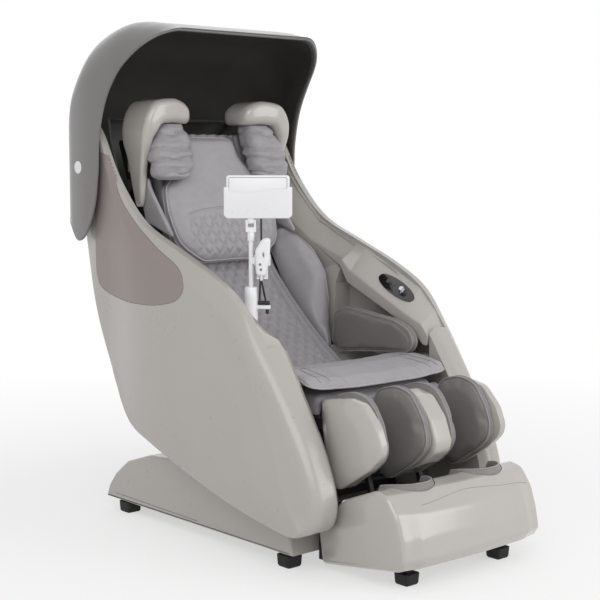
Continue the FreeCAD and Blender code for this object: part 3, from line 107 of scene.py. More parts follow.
def swept(points, count, closed=True):
    """A smooth line through all the points, spaced evenly."""
    n, dense = len(points), []
    for i in range(n if closed else n - 1):
        near = [points[(i + k) % n] if closed else points[max(0, min(n - 1, i + k))] for k in (-1, 0, 1, 2)]
        knots = [0.0]
        for a, b in zip(near, near[1:]):
            knots.append(knots[-1] + max(math.dist(a, b), 1e-6) ** 0.5)
        slopes = []
        for k in (1, 2):
            d0, d1 = knots[k] - knots[k - 1], knots[k + 1] - knots[k]
            slopes.append([((q - p) / d0 * d1 + (r - q) / d1 * d0) / (d0 + d1)
                           for p, q, r in zip(near[k - 1], near[k], near[k + 1])])
        span = knots[2] - knots[1]
        for step in range(12):
            t = step / 12
            h = (2 * t ** 3 - 3 * t ** 2 + 1, t ** 3 - 2 * t ** 2 + t, 3 * t ** 2 - 2 * t ** 3, t ** 3 - t ** 2)
            dense.append(tuple(h[0] * p + h[1] * span * a + h[2] * q + h[3] * span * b for p, q, a, b in
                               zip(near[1], near[2], *slopes)))
    return even(dense + ([] if closed else [tuple(points[-1])]), count, closed)


def eased(points, times, closed=True):
    """The line with its points moved towards the middle of their neighbours."""
    for _ in range(times):
        n = len(points)
        points = [points[i] if not closed and i in (0, n - 1) else
                  tuple((a + 2 * b + c) / 4 for a, b, c in zip(points[i - 1], points[i], points[(i + 1) % n]))
                  for i in range(n)]
    return points


def gliding(xs, ys):
    """A smooth function through the points that never swings past them."""
    n = len(xs)
    rise = [(ys[i + 1] - ys[i]) / (xs[i + 1] - xs[i]) for i in range(n - 1)]
    slope = [rise[0]] + [0.0 if a * b <= 0 else 2 * a * b / (a + b) for a, b in zip(rise, rise[1:])] + [rise[-1]]

    def at(x):
        x = max(xs[0], min(xs[-1], x))
        i = 0
        while i < n - 2 and x > xs[i + 1]:
            i += 1
        span = xs[i + 1] - xs[i]
        t = (x - xs[i]) / span
        return ((2 * t ** 3 - 3 * t ** 2 + 1) * ys[i] + (t ** 3 - 2 * t ** 2 + t) * span * slope[i]
                + (3 * t ** 2 - 2 * t ** 3) * ys[i + 1] + (t ** 3 - t ** 2) * span * slope[i + 1])
    return at


def inset(points, distance):
    """A fine closed outline drawn in by a distance."""
    n = len(points)
    area = sum(points[i - 1][0] * points[i][1] - points[i][0] * points[i - 1][1] for i in range(n))
    side = distance if area > 0 else -distance
    result = []
    for i in range(n):
        a, b = points[i - 1], points[(i + 1) % n]
        dx, dy = b[0] - a[0], b[1] - a[1]
        size = math.hypot(dx, dy) or 1.0
        result.append((points[i][0] - dy / size * side, points[i][1] + dx / size * side))
    return result


def soft_min(a, b, width):
    """The lower of two values, with a smooth passage where they meet."""
    h = max(width - abs(a - b), 0.0) / width
    return min(a, b) - h * h * width / 4


def side_ring(x, points):
    return [(x, a, b) for a, b in points]


# Meshes
def loft(rings, caps=True):
    """Vertices and faces through rings of as many points each."""
    n, verts, faces = len(rings[0]), [p for ring in rings for p in ring], []
    for r in range(len(rings) - 1):
        for i in range(n):
            j = (i + 1) % n
            faces.append((r * n + i, r * n + j, (r + 1) * n + j, (r + 1) * n + i))
    if caps:
        faces.append(tuple(range(n - 1, -1, -1)))
        faces.append(tuple(range((len(rings) - 1) * n, len(rings) * n)))
    return verts, faces


def line_tree(points):
    """Finds the distance from a line of (a, b) points."""
    tree = KDTree(len(points))
    for i, p in enumerate(points):
        tree.insert((p[0], p[1], 0.0), i)
    tree.balance()
    return lambda a, b: tree.find((a, b, 0.0))[2]


def filled(outline, spacing):
    """The points and triangles that fill a closed outline: a staggered grid joined to its edge."""
    edge = [Vector(p) for p in outline]
    n, away = len(edge), line_tree(even(outline, int(2.5 * len(outline))))
    low, high = [min(p[k] for p in outline) for k in (0, 1)], [max(p[k] for p in outline) for k in (0, 1)]
    rows = []
    for j in range(int((high[1] - low[1]) / spacing / 0.866) + 1):
        b = low[1] + (j + 0.5) * spacing * 0.866
        cuts = sorted(p.x + (b - p.y) / (q.y - p.y) * (q.x - p.x) for p, q in zip(edge, edge[1:] + edge[:1])
                      if (p.y > b) != (q.y > b))
        for first, last in zip(cuts[::2], cuts[1::2]):
            a = low[0] + spacing * (math.ceil((first - low[0]) / spacing) + (j % 2) / 2 - 1)
            while a < last:
                if a > first and away(a, b) > spacing * 0.55:
                    rows.append(Vector((a, b)))
                a += spacing
    links = [(i, (i + 1) % n) for i in range(n)]
    _, _, faces, origins, _, _ = delaunay_2d_cdt(edge + rows, links, [], 1, 1e-4)
    home = {i: (origin[0] if origin else None) for i, origin in enumerate(origins)}
    points = edge + rows
    if any(home[i] is None for face in faces for i in face):
        raise RuntimeError("an outline crosses itself")
    return [tuple(p) for p in points], [tuple(home[i] for i in face) for face in faces]


def crowned(walls, height, spacing, plane="yz"):
    """A solid with a wall of rings (level, outline), the last of them closed by a face whose level is height(a, b)."""
    def spot(level, a, b):
        return (level, a, b) if plane == "yz" else (a, b, level)
    verts, faces = loft([[spot(level, a, b) for a, b in ring] for level, ring in walls], caps=False)
    n, base = len(walls[0][1]), len(verts) - len(walls[0][1])
    points, cap = filled(walls[-1][1], spacing)
    verts += [spot(height(a, b), a, b) for a, b in points[n:]]
    faces.append(tuple(range(n)))
    return verts, faces + [tuple(base + i for i in face) for face in cap]


def merged(*parts):
    verts, faces = [], []
    for v, f in parts:
        base = len(verts)
        verts += v
        faces += [tuple(base + i for i in face) for face in f]
    return verts, faces


def moved(part, matrix):
    return [tuple(matrix @ Vector(v)) for v in part[0]], part[1]


def brick(x0, x1, y0, y1, z0, z1, edge=0.0):
    """A box with its edges broken all round."""
    rings = []
    for z, d in ((z0, edge), (z0 + edge, 0.0), (z1 - edge, 0.0), (z1, edge)) if edge else ((z0, 0), (z1, 0)):
        corners = oblong(x0 + d, x1 - d, y0 + d, y1 - d, edge)
        rings.append([(a, b, z) for a, b in (rounded(corners, 3) if edge else [c[:2] for c in corners])])
    return loft(rings)


def turned(axis, profile, sides=32):
    """A turned form: profile is (radius, height) up the axis 'x' or 'z'."""
    rings, turns = [], [math.tau * k / sides for k in range(sides)]
    for radius, height in profile:
        ring = [(radius * math.cos(t), radius * math.sin(t)) for t in turns]
        rings.append([(height, a, b) if axis == "x" else (a, b, height) for a, b in ring])
    return loft(rings)


def pipe(points, radius, sides=10, closed=False):
    """A round bar along a line."""
    line = [Vector(p) for p in points]
    n, rings, up = len(line), [], None
    for i, p in enumerate(line):
        ahead = line[(i + 1) % n] if closed or i < n - 1 else p
        behind = line[i - 1] if closed or i else p
        along = (ahead - behind).normalized()
        up = (along.orthogonal() if up is None else up - along * up.dot(along)).normalized()
        across = along.cross(up)
        r = radius(i / (n - 1)) if callable(radius) else radius
        rings.append([tuple(p + (up * math.cos(t) + across * math.sin(t)) * r)
                      for t in (math.tau * k / sides for k in range(sides))])
    if not closed:
        return loft(rings)
    return loft(rings + rings[:1], caps=False)


def raw(name, part):
    """A bare mesh object in metres, its faces pointing outwards."""
    mesh = bpy.data.meshes.new(name)
    mesh.from_pydata([tuple(c * MM for c in v) for v in part[0]], [], part[1])
    work = bmesh.new()
    work.from_mesh(mesh)
    bmesh.ops.remove_doubles(work, verts=work.verts, dist=1e-6)
    bmesh.ops.recalc_face_normals(work, faces=work.faces)
    work.to_mesh(mesh)
    work.free()
    obj = bpy.data.objects.new(name, mesh)
    bpy.context.scene.collection.objects.link(obj)
    return obj


def settle(obj):
    """Makes the object's modifiers part of its mesh."""
    graph = bpy.context.evaluated_depsgraph_get()
    graph.update()
    mesh = bpy.data.meshes.new_from_object(obj.evaluated_get(graph))
    obj.modifiers.clear()
    old, obj.data = obj.data, mesh
    bpy.data.meshes.remove(old)
    return obj


def modified(obj, kind, **settings):
    """Runs one modifier on the object and keeps its result."""
    step = obj.modifiers.new(kind.lower(), kind)
    for key, value in settings.items():
        setattr(step, key, value)
    return settle(obj)


def carve(obj, cutter, operation="DIFFERENCE", keep=False):
    """Cuts one solid with another, which goes unless it is kept."""
    modified(obj, "BOOLEAN", object=cutter, operation=operation, solver="EXACT")
    if not keep:
        bpy.data.objects.remove(cutter)
    return obj


def joined(name, *objects):
    """One object from several, their meshes side by side."""
    work = bmesh.new()
    for obj in objects:
        work.from_mesh(obj.data)
        bpy.data.objects.remove(obj)
    mesh = bpy.data.meshes.new(name)
    work.to_mesh(mesh)
    work.free()
    obj = bpy.data.objects.new(name, mesh)
    bpy.context.scene.collection.objects.link(obj)
    return obj


def finished(obj, name, body, finish, crease=32):
    """Names and shades a piece, and hangs it on the body that it moves with."""
    obj.name = obj.data.name = name
    obj.data.materials.clear()
    obj.data.materials.append(finish)
    obj.data.shade_smooth()
    if crease < 180:
        obj.data.set_sharp_from_angle(angle=math.radians(crease))
    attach(obj, body)
    return obj


def mirrored_in_place(obj):
    """Moves a piece to the other side of the chair."""
    obj.data.transform(Matrix.Scale(-1, 4, (1, 0, 0)))
    obj.data.flip_normals()
    return obj


def mirror_lines(lines):
    return [[(-a, b, c) for a, b, c in line] for line in lines]


def twin_of(obj):
    """The same mesh in an object of its own."""
    twin = bpy.data.objects.new(obj.name + "_twin", obj.data.copy())
    bpy.context.scene.collection.objects.link(twin)
    return twin


def across(obj, name):
    """The same piece on the other side of the chair."""
    twin = mirrored_in_place(twin_of(obj))
    twin.name = name
    return twin


def fair(obj, times, factor=0.5):
    """Takes the unevenness out of a fine mesh."""
    work = bmesh.new()
    work.from_mesh(obj.data)
    for _ in range(times):
        bmesh.ops.smooth_vert(work, verts=work.verts, factor=factor, use_axis_x=True, use_axis_y=True, use_axis_z=True)
    work.to_mesh(obj.data)
    work.free()
    return obj


def puffed(obj, travel, pressure=4.0, voxel=5.0, shrink=2.0, subdivide=True):
    """Fills a pad with air: the cover is blown out against its own stretch, and let go no further than travel."""
    modified(obj, "REMESH", mode="VOXEL", voxel_size=voxel * MM)
    fair(obj, 2)
    modified(obj, "DISPLACE", strength=-shrink * MM, mid_level=0.0)
    start = [v.co.copy() for v in obj.data.vertices]
    scene = bpy.context.scene
    cloth = obj.modifiers.new("air", "CLOTH")
    cloth.settings.use_pressure = True
    cloth.settings.uniform_pressure_force = pressure
    cloth.settings.quality = 5
    cloth.settings.effector_weights.gravity = 0.0
    cloth.collision_settings.use_collision = False
    cloth.point_cache.frame_start, cloth.point_cache.frame_end = 1, 20
    for at in range(1, 21):
        scene.frame_set(at)
    settle(obj)
    scene.frame_set(1)
    for v, home in zip(obj.data.vertices, start):
        way = v.co - home
        if way.length > travel * MM:
            v.co = home + way.normalized() * travel * MM
    fair(obj, 2)
    if subdivide:
        modified(obj, "SUBSURF", levels=1, render_levels=1)
    return obj


def pressed(obj, lines, width, depth, facing=None):
    """Sews channels into a soft piece along lines of points, width and depth in mm."""
    samples = []
    for line in lines:
        length = sum(math.dist(a, b) for a, b in zip(line, line[1:]))
        samples += even(line, max(2, int(length / 1.5)), closed=False)
    tree = KDTree(len(samples))
    for i, p in enumerate(samples):
        tree.insert(Vector(p) * MM, i)
    tree.balance()
    normals = [v.normal.copy() for v in obj.data.vertices]
    for v, normal in zip(obj.data.vertices, normals):
        if facing is not None and normal.dot(facing) < 0.15:
            continue
        reach = tree.find(v.co)[2] / MM
        if reach < width * 2.2:
            v.co -= normal * depth * MM * math.exp(-(reach / width * 1.3) ** 2)
    return obj


def taut(obj, axis, times, test):
    """Evens out the faces that pass the test, along one axis only."""
    work = bmesh.new()
    work.from_mesh(obj.data)
    chosen = [v for v in work.verts if test(v.co / MM)]
    for _ in range(times):
        bmesh.ops.smooth_vert(work, verts=chosen, factor=0.5, use_axis_x=axis == "x", use_axis_y=axis == "y",
                              use_axis_z=axis == "z")
    work.to_mesh(obj.data)
    work.free()
    return obj


def laid_on(obj, points, lift=0.0):
    """Points brought onto a piece's surface, raised by lift."""
    tree = BVHTree.FromPolygons([v.co for v in obj.data.vertices], [tuple(p.vertices) for p in obj.data.polygons])
    result = []
    for p in points:
        place, normal, _, _ = tree.find_nearest(Vector(p) * MM)
        result.append(tuple(place / MM + normal * lift))
    return result


# Finishes
class Signal:
    """A value in a finish, usable in sums with other values and numbers."""

    def __init__(self, finish, socket):
        self.finish, self.socket = finish, socket

    def with_(self, operation, other, first=False):
        pair = (other, self) if first else (self, other)
        return self.finish.node("ShaderNodeMath", {"operation": operation}, {0: pair[0], 1: pair[1]})

    def __add__(self, other):
        return self.with_("ADD", other)

    __radd__ = __add__

    def __sub__(self, other):
        return self.with_("SUBTRACT", other)

    def __rsub__(self, other):
        return self.with_("SUBTRACT", other, True)

    def __mul__(self, other):
        return self.with_("MULTIPLY", other)

    __rmul__ = __mul__

    def __pow__(self, other):
        return self.with_("POWER", other)


class Finish:
    """A procedural finish: its nodes, and the surface that they feed."""

    def __init__(self, name):
        self.material = bpy.data.materials.new(name)
        self.material.use_nodes = True
        self.tree = self.material.node_tree
        self.tree.nodes.clear()
        self.place = self.node("ShaderNodeTexCoord", output="Object")

    def node(self, kind, settings=None, sockets=None, output=0):
        made = self.tree.nodes.new(kind)
        for key, value in (settings or {}).items():
            if key == "stops":
                for stop, (at, color) in zip(made.color_ramp.elements, value):
                    stop.position, stop.color = at, color
            else:
                setattr(made, key, value)
        for key, value in (sockets or {}).items():
            if isinstance(value, Signal):
                self.tree.links.new(value.socket, made.inputs[key])
            else:
                made.inputs[key].default_value = value
        return Signal(self, made.outputs[output])

    def noise(self, scale, detail=2.0, roughness=0.5, place=None):
        return self.node("ShaderNodeTexNoise", None, {"Vector": place or self.place, "Scale": scale, "Detail": detail,
                                                      "Roughness": roughness})

    def cells(self, scale, feature="F1", randomness=1.0, place=None):
        return self.node("ShaderNodeTexVoronoi", {"feature": feature},
                         {"Vector": place or self.place, "Scale": scale, "Randomness": randomness})

    def stretched(self, x, y, z):
        return self.node("ShaderNodeVectorMath", {"operation": "MULTIPLY"}, {0: self.place, 1: (x, y, z)})

    def mixed(self, share, first, second):
        return self.node("ShaderNodeMix", {"data_type": "RGBA"}, {0: share, 6: first, 7: second}, 2)

    def steps(self, value, low, high, to_low=0.0, to_high=1.0):
        return self.node("ShaderNodeMapRange", None, {"Value": value, "From Min": low, "From Max": high,
                                                      "To Min": to_low, "To Max": to_high})

    def dents(self, height, depth, strength=1.0, under=None):
        sockets = {"Strength": strength, "Distance": depth, "Height": height}
        if under is not None:
            sockets["Normal"] = under
        return self.node("ShaderNodeBump", None, sockets)

    def surface(self, color, roughness, dents=None, **fixed):
        sockets = {"Base Color": color, "Roughness": roughness}
        if dents is not None:
            sockets["Normal"] = dents
        sockets.update({key.replace("_", " "): value for key, value in fixed.items()})
        shader = self.node("ShaderNodeBsdfPrincipled", None, sockets)
        self.node_output(shader)
        return self.material

    def node_output(self, shader):
        out = self.tree.nodes.new("ShaderNodeOutputMaterial")
        self.tree.links.new(shader.socket, out.inputs["Surface"])


def tone(red, green, blue, lift=1.0):
    """A colour from its display values, 0 to 255."""
    return tuple(min(1.0, ((c / 255 + 0.055) / 1.055) ** 2.4 * lift) if c > 10 else c / 255 / 12.92
                 for c in (red, green, blue)) + (1.0,)


def shaded(color, lift):
    return tuple(min(1.0, c * lift) for c in color[:3]) + (1.0,)


def moulded(name, color, roughness=0.3, coat=0.35, mottle=0.04, peel=0.00002):
    """Painted or moulded plastic: faint cloudiness, a very fine orange peel, and scuffs in the gloss."""
    f = Finish(name)
    cloud = f.noise(6.0, 3.0)
    scuff = f.noise(55.0, 6.0, 0.65)
    base = f.mixed(cloud, shaded(color, 1 - mottle), shaded(color, 1 + mottle))
    rough = roughness + (scuff - 0.5) * 0.16 + (cloud - 0.5) * 0.06
    return f.surface(base, rough, f.dents(f.noise(160.0, 2.0), peel),
                     Coat_Weight=coat, Coat_Roughness=0.12)


def leather(name, color, roughness=0.5, grain=1.0, wrinkle=0.35, sheen=0.1):
    """Upholstery leather: pebbled grain with fine pores, soft creases and a little unevenness of colour."""
    f = Finish(name)
    pebble = f.cells(640.0 / grain, "DISTANCE_TO_EDGE")
    pores = f.noise(1500.0 / grain, 2.0)
    crease = f.noise(28.0, 5.0, 0.6, f.stretched(1.0, 0.8, 1.5))
    cloud = f.noise(9.0, 4.0)
    # The colour follows the crease bump: darker where it is low, in the hollows of the creases, and lighter on its
    # crests.
    crease_tone = f.steps(crease, 0.35, 0.7)
    base = f.mixed(cloud * 0.6 + crease_tone * 0.4, shaded(color, 0.9), shaded(color, 1.1))
    height = f.steps(pebble, 0.0, 0.25) * 0.5 + pores * 0.25
    low = f.dents(crease, 0.0009, wrinkle)
    return f.surface(base, roughness + (cloud - 0.5) * 0.14 + f.steps(pebble, 0.0, 0.2, 0.06, -0.03),
                     f.dents(height, 0.00016, 0.8, low), Sheen_Weight=sheen, Sheen_Roughness=0.5,
                     Specular_IOR_Level=0.45)


def brushed(name, color, roughness=0.38, metallic=1.0):
    """Bare or plated metal with the marks of its drawing."""
    f = Finish(name)
    marks = f.noise(90.0, 4.0, 0.6, f.stretched(1.0, 14.0, 14.0))
    base = f.mixed(marks, shaded(color, 0.86), shaded(color, 1.08))
    return f.surface(base, roughness + (marks - 0.5) * 0.2, f.dents(marks, 0.00004), Metallic=metallic)


def textured(name, color, roughness=0.6, scale=700.0, depth=0.00008, dusty=1.7):
    """Spark-textured plastic or rubber, a little dusty."""
    f = Finish(name)
    spark = f.noise(scale, 3.0, 0.6)
    dust = f.noise(22.0, 5.0, 0.6)
    base = f.mixed(f.steps(dust, 0.45, 0.75), color, shaded(color, dusty))
    return f.surface(base, roughness + (spark - 0.5) * 0.2 + (dust - 0.5) * 0.1, f.dents(spark, depth))


FINISHES = {}


def mix_finishes(colors):
    """All of the chair's finishes, from the colours in its properties."""
    shell, hood, inlay, hide, dark = (tuple(c) + (1.0,) for c in (
        colors.shell, colors.hood, colors.inlay, colors.leather, colors.leather_dark))
    FINISHES.update(
        greige_shell=moulded("greige_shell", shell, 0.3, 0.4),
        pearl_shell=moulded("pearl_shell", shaded(shell, 1.06), 0.2, 0.7),
        hood_paint=moulded("hood_paint", hood, 0.34, 0.25, 0.05),
        bronze_inlay=moulded("bronze_inlay", inlay, 0.42, 0.1, 0.05),
        gloss_black=moulded("gloss_black", (0.012, 0.012, 0.013, 1), 0.12, 0.8),
        white_plastic=moulded("white_plastic", tone(228, 228, 230), 0.3, 0.3, 0.015),
        grey_plastic=moulded("grey_plastic", tone(120, 119, 118), 0.4, 0.1),
        hood_lining=textured("hood_lining", tone(58, 57, 55), 0.7, 380.0, 0.00015, 1.12),
        taupe_leather=leather("taupe_leather", hide, 0.46),
        quilt_leather=leather("quilt_leather", shaded(hide, 0.86), 0.5),
        dark_leather=leather("dark_leather", dark, 0.48),
        sleeve_leather=leather("sleeve_leather", shaded(hide, 0.92), 0.42, 0.9, 0.5),
        piping_leather=leather("piping_leather", shaded(hide, 1.12), 0.4, 0.7, 0.1),
        dark_piping=leather("dark_piping", shaded(hide, 0.78), 0.42, 0.7, 0.1),
        calf_leather=leather("calf_leather", shaded(dark, 1.1), 0.42),
        # Painted shade: a dark grey made from the shell colour, for the thin lines laid along grooves, creases and sewn
        # channels in place of the shade that gathers in them.
        seam_line=textured("seam_line", shaded(shell, 0.36), 0.6),
        thread=textured("thread", tone(92, 88, 88), 0.8, 2400.0, 0.00005),
        black_plastic=textured("black_plastic", tone(26, 26, 27), 0.5),
        rubber_black=textured("rubber_black", tone(24, 24, 24), 0.75, 300.0, 0.0002),
        cord_rubber=textured("cord_rubber", tone(20, 20, 21), 0.5, 900.0, 0.00005),
        black_steel=textured("black_steel", tone(32, 32, 33), 0.42, 500.0, 0.00006),
        machine_steel=brushed("machine_steel", tone(170, 171, 173), 0.36),
        chrome_trim=brushed("chrome_trim", tone(215, 216, 218), 0.14),
        screen=moulded("screen", (0.016, 0.018, 0.022, 1), 0.08, 0.9),
    )


# Trees for what follows a line
def line_object(name, points, closed):
    curve = bpy.data.curves.new(name, "CURVE")
    curve.dimensions = "3D"
    spline = curve.splines.new("POLY")
    spline.points.add(len(points) - 1)
    for knot, p in zip(spline.points, points):
        knot.co = (*(c * MM for c in p), 1.0)
    spline.use_cyclic_u = closed
    obj = bpy.data.objects.new(name, curve)
    bpy.context.scene.collection.objects.link(obj)
    return obj


def new_tree(name, inputs):
    tree = bpy.data.node_groups.new(name, "GeometryNodeTree")
    tree.interface.new_socket("Geometry", in_out="INPUT", socket_type="NodeSocketGeometry")
    for label, kind, value in inputs:
        socket = tree.interface.new_socket(label, in_out="INPUT", socket_type=kind)
        if value is not None:
            socket.default_value = value
    tree.interface.new_socket("Geometry", in_out="OUTPUT", socket_type="NodeSocketGeometry")
    return tree


def wired(tree, kind, settings=None, **links):
    """Adds a node; each link is a value, a node's output, or a pair of a node and an output's name."""
    made = tree.nodes.new(kind)
    for key, value in (settings or {}).items():
        setattr(made, key, value)
    for key, value in links.items():
        socket = made.inputs[key.replace("_", " ")]
        if isinstance(value, tuple) and hasattr(value[0], "outputs"):
            tree.links.new(value[0].outputs[value[1]], socket)
        elif hasattr(value, "outputs"):
            tree.links.new(value.outputs[0], socket)
        else:
            socket.default_value = value
    return made


def ended(tree, into, geometry):
    """Makes real geometry of what a tree has placed, gives it the material and sends it out."""
    solid = wired(tree, "GeometryNodeRealizeInstances", None, Geometry=geometry)
    dyed = wired(tree, "GeometryNodeSetMaterial", None, Geometry=solid, Material=(into, "Material"))
    tree.links.new(dyed.outputs[0], tree.nodes.new("NodeGroupOutput").inputs[0])
    return tree


def piping_tree():
    """A round welt along a curve."""
    tree = new_tree("Piping", [("Radius", "NodeSocketFloat", 0.0022), ("Sides", "NodeSocketInt", 10),
                               ("Spacing", "NodeSocketFloat", 0.004), ("Material", "NodeSocketMaterial", None)])
    into = tree.nodes.new("NodeGroupInput")
    line = wired(tree, "GeometryNodeResampleCurve", {"mode": "LENGTH"}, Curve=into, Length=(into, "Spacing"))
    circle = wired(tree, "GeometryNodeCurvePrimitiveCircle", None, Resolution=(into, "Sides"), Radius=(into, "Radius"))
    body = wired(tree, "GeometryNodeCurveToMesh", None, Curve=line, Profile_Curve=circle, Fill_Caps=True)
    return ended(tree, into, body)


def stitch_tree():
    """A row of thread stitches along a curve, each a short rounded bar."""
    tree = new_tree("Stitches", [("Pitch", "NodeSocketFloat", 0.005), ("Length", "NodeSocketFloat", 0.0036),
                                 ("Thickness", "NodeSocketFloat", 0.0009), ("Material", "NodeSocketMaterial", None)])
    into = tree.nodes.new("NodeGroupInput")
    line = wired(tree, "GeometryNodeResampleCurve", {"mode": "LENGTH"}, Curve=into, Length=(into, "Pitch"))
    bead = wired(tree, "GeometryNodeMeshIcoSphere", None, Radius=0.5, Subdivisions=1)
    size = wired(tree, "ShaderNodeCombineXYZ", None, X=(into, "Thickness"), Y=(into, "Thickness"), Z=(into, "Length"))
    way = wired(tree, "GeometryNodeInputTangent")
    turn = wired(tree, "FunctionNodeAlignRotationToVector", {"axis": "Z"}, Vector=way)
    row = wired(tree, "GeometryNodeInstanceOnPoints", None, Points=line, Instance=bead, Rotation=turn, Scale=size)
    return ended(tree, into, row)


def screw_tree():
    """Domed socket screws at the points of a line, their heads facing along it."""
    tree = new_tree("Screws", [("Radius", "NodeSocketFloat", 0.004), ("Height", "NodeSocketFloat", 0.0022),
                               ("Facing", "NodeSocketVector", (0.0, 0.0, 1.0)),
                               ("Material", "NodeSocketMaterial", None)])
    into = tree.nodes.new("NodeGroupInput")
    spots = wired(tree, "GeometryNodeCurveToPoints", {"mode": "EVALUATED"}, Curve=into)
    head = wired(tree, "GeometryNodeMeshCone", None, Vertices=20, Radius_Top=0.72, Radius_Bottom=1.0, Depth=1.0)
    size = wired(tree, "ShaderNodeCombineXYZ", None, X=(into, "Radius"), Y=(into, "Radius"), Z=(into, "Height"))
    turn = wired(tree, "FunctionNodeAlignRotationToVector", {"axis": "Z"}, Vector=(into, "Facing"))
    row = wired(tree, "GeometryNodeInstanceOnPoints", None, Points=spots, Instance=head, Rotation=turn, Scale=size)
    return ended(tree, into, row)


TREES = {}


def along_line(kind, name, points, finish, closed=True, **values):
    """Runs one of the trees along a line of points, and returns the plain mesh that it makes."""
    if kind not in TREES:
        TREES[kind] = {"Piping": piping_tree, "Stitches": stitch_tree, "Screws": screw_tree}[kind]()
    tree = TREES[kind]
    guide = line_object(name + "_line", points, closed)
    step = guide.modifiers.new(kind, "NODES")
    step.node_group = tree
    labels = {item.name: item.identifier for item in tree.interface.items_tree if item.in_out == "INPUT"}
    step[labels["Material"]] = FINISHES[finish]
    for key, value in values.items():
        step[labels[key.replace("_", " ")]] = value
    graph = bpy.context.evaluated_depsgraph_get()
    graph.update()
    mesh = bpy.data.meshes.new_from_object(guide.evaluated_get(graph))
    guide.modifiers.clear()
    curve = guide.data
    bpy.data.objects.remove(guide)
    bpy.data.curves.remove(curve)
    obj = bpy.data.objects.new(name, mesh)
    bpy.context.scene.collection.objects.link(obj)
    return obj


def edging(name, lines, body, slot="taupe_leather", finish="piping_leather", kind="Piping", closed=True, **values):
    """One piece of piping, stitches or screws along several lines."""
    rows = [along_line(kind, "%s_%d" % (name, i), line, finish, closed, **values) for i, line in enumerate(lines)]
    return finished(joined(name, *rows), name, body, FINISHES[finish], 60)


# The stage
CAMERA_LENS, CAMERA_PLACE, CAMERA_TURN = 80.95, (-2.245, -2.603, 0.937), (84.0, 0.0, -41.2)
FLOOR_FADE = (0.9, 2.6)


def make_stage(light):
    """A white room: a floor that keeps the shadow near the chair, plain light all round, and three lamps."""
    scene = bpy.context.scene
    scene.view_settings.view_transform = "Standard"
    camera = bpy.data.objects.new("photo_view", bpy.data.cameras.new("photo_view"))
    camera.data.sensor_width, camera.data.lens = 36.0, CAMERA_LENS
    camera.location = CAMERA_PLACE
    camera.rotation_euler = [math.radians(turn) for turn in CAMERA_TURN]
    scene.collection.objects.link(camera)
    scene.camera = camera

    world = bpy.data.worlds.new("studio")
    scene.world = world
    world.use_nodes = True
    tree = world.node_tree
    tree.nodes.clear()
    path = tree.nodes.new("ShaderNodeLightPath")
    seen, either = (tree.nodes.new("ShaderNodeMath") for _ in range(2))
    seen.operation = either.operation = "MAXIMUM"
    tree.links.new(path.outputs["Is Camera Ray"], either.inputs[0])
    tree.links.new(path.outputs["Is Transmission Ray"], either.inputs[1])
    tree.links.new(either.outputs[0], seen.inputs[0])
    tree.links.new(path.outputs["Is Glossy Ray"], seen.inputs[1])
    plain, white, mix = (tree.nodes.new(kind) for kind in (
        "ShaderNodeBackground", "ShaderNodeBackground", "ShaderNodeMixShader"))
    plain.inputs[0].default_value, plain.inputs[1].default_value = (1, 1, 1, 1), light.surround
    white.inputs[0].default_value, white.inputs[1].default_value = (1, 1, 1, 1), 1.0
    tree.links.new(seen.outputs[0], mix.inputs[0])
    tree.links.new(plain.outputs[0], mix.inputs[1])
    tree.links.new(white.outputs[0], mix.inputs[2])
    out = tree.nodes.new("ShaderNodeOutputWorld")
    tree.links.new(mix.outputs[0], out.inputs[0])

    floor = raw("floor", ([(-9000, -9000, 0), (9000, -9000, 0), (9000, 9000, 0), (-9000, 9000, 0)], [(0, 1, 2, 3)]))
    f = Finish("floor_white")
    plain_floor = f.node("ShaderNodeBsdfDiffuse", None, {"Color": (0.93, 0.93, 0.93, 1)})
    glow = f.node("ShaderNodeEmission", None, {"Color": (1, 1, 1, 1), "Strength": 1.0})
    straight = f.node("ShaderNodeLightPath", None, None, "Is Camera Ray")
    mirrored = f.node("ShaderNodeLightPath", None, None, "Is Glossy Ray")
    away = f.node("ShaderNodeVectorMath", {"operation": "LENGTH"}, {0: f.place}, "Value")
    far = f.steps(away, *FLOOR_FADE, 0.55, 1.0)
    seen = straight.with_("MAXIMUM", mirrored) * far
    f.node_output(f.node("ShaderNodeMixShader", None, {0: seen, 1: plain_floor, 2: glow}))
    floor.data.materials.append(f.material)

    for name, place, aim, size, watts in (
            ("key", (-2.9, -3.1, 3.2), (0.0, 0.0, 0.6), 3.4, light.key),
            ("front", (1.9, -4.2, 1.9), (0.0, -0.2, 0.5), 3.0, light.front),
            ("rear", (1.5, 2.9, 2.4), (0.0, 0.2, 0.8), 3.4, light.rear)):
        lamp = bpy.data.objects.new(name, bpy.data.lights.new(name, "AREA"))
        lamp.data.shape, lamp.data.size, lamp.data.energy = "DISK", size, watts
        lamp.location = place
        lamp.rotation_euler = (Vector(aim) - Vector(place)).to_track_quat("-Z", "Y").to_euler()
        scene.collection.objects.link(lamp)


# Cords
STAND = Matrix.Translation((-248.0, -147.0, 0.0)) @ Matrix.Rotation(math.radians(-41.7), 4, "Z")
TRAY_AXIS = Matrix.Translation((0, 0, 789))
TABLET_CORD = [(24, 0, 796.2), (25, 2, 735), (22.5, 2, 669), (20, 0, 603.6)]
HANDSET_CORD = [(25, -14, 651.2), (30, -12, 628), (34, 0, 604.5)]
CORD_D = 4.5


def make_cord(name, route, node):
    """A thin black lead on the stand, from its set to the plug that both share."""
    points = [STAND @ Vector(p) * MM for p in route]
    curve = bpy.data.curves.new(name, "CURVE")
    curve.dimensions = "3D"
    spline = curve.splines.new("NURBS")
    spline.points.add(len(points) - 1)
    for knot, p in zip(spline.points, points):
        knot.co = (*p, 1.0)
    spline.order_u = 3
    spline.use_endpoint_u = True
    curve.bevel_depth, curve.bevel_resolution, curve.resolution_u = CORD_D / 2 * MM, 4, 16
    curve.use_fill_caps = True
    obj = bpy.data.objects.new(name, curve)
    bpy.context.scene.collection.objects.link(obj)
    obj.data.materials.append(FINISHES["cord_rubber"])
    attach(obj, "seat_body")
    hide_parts(node)
    tuple(points[0])


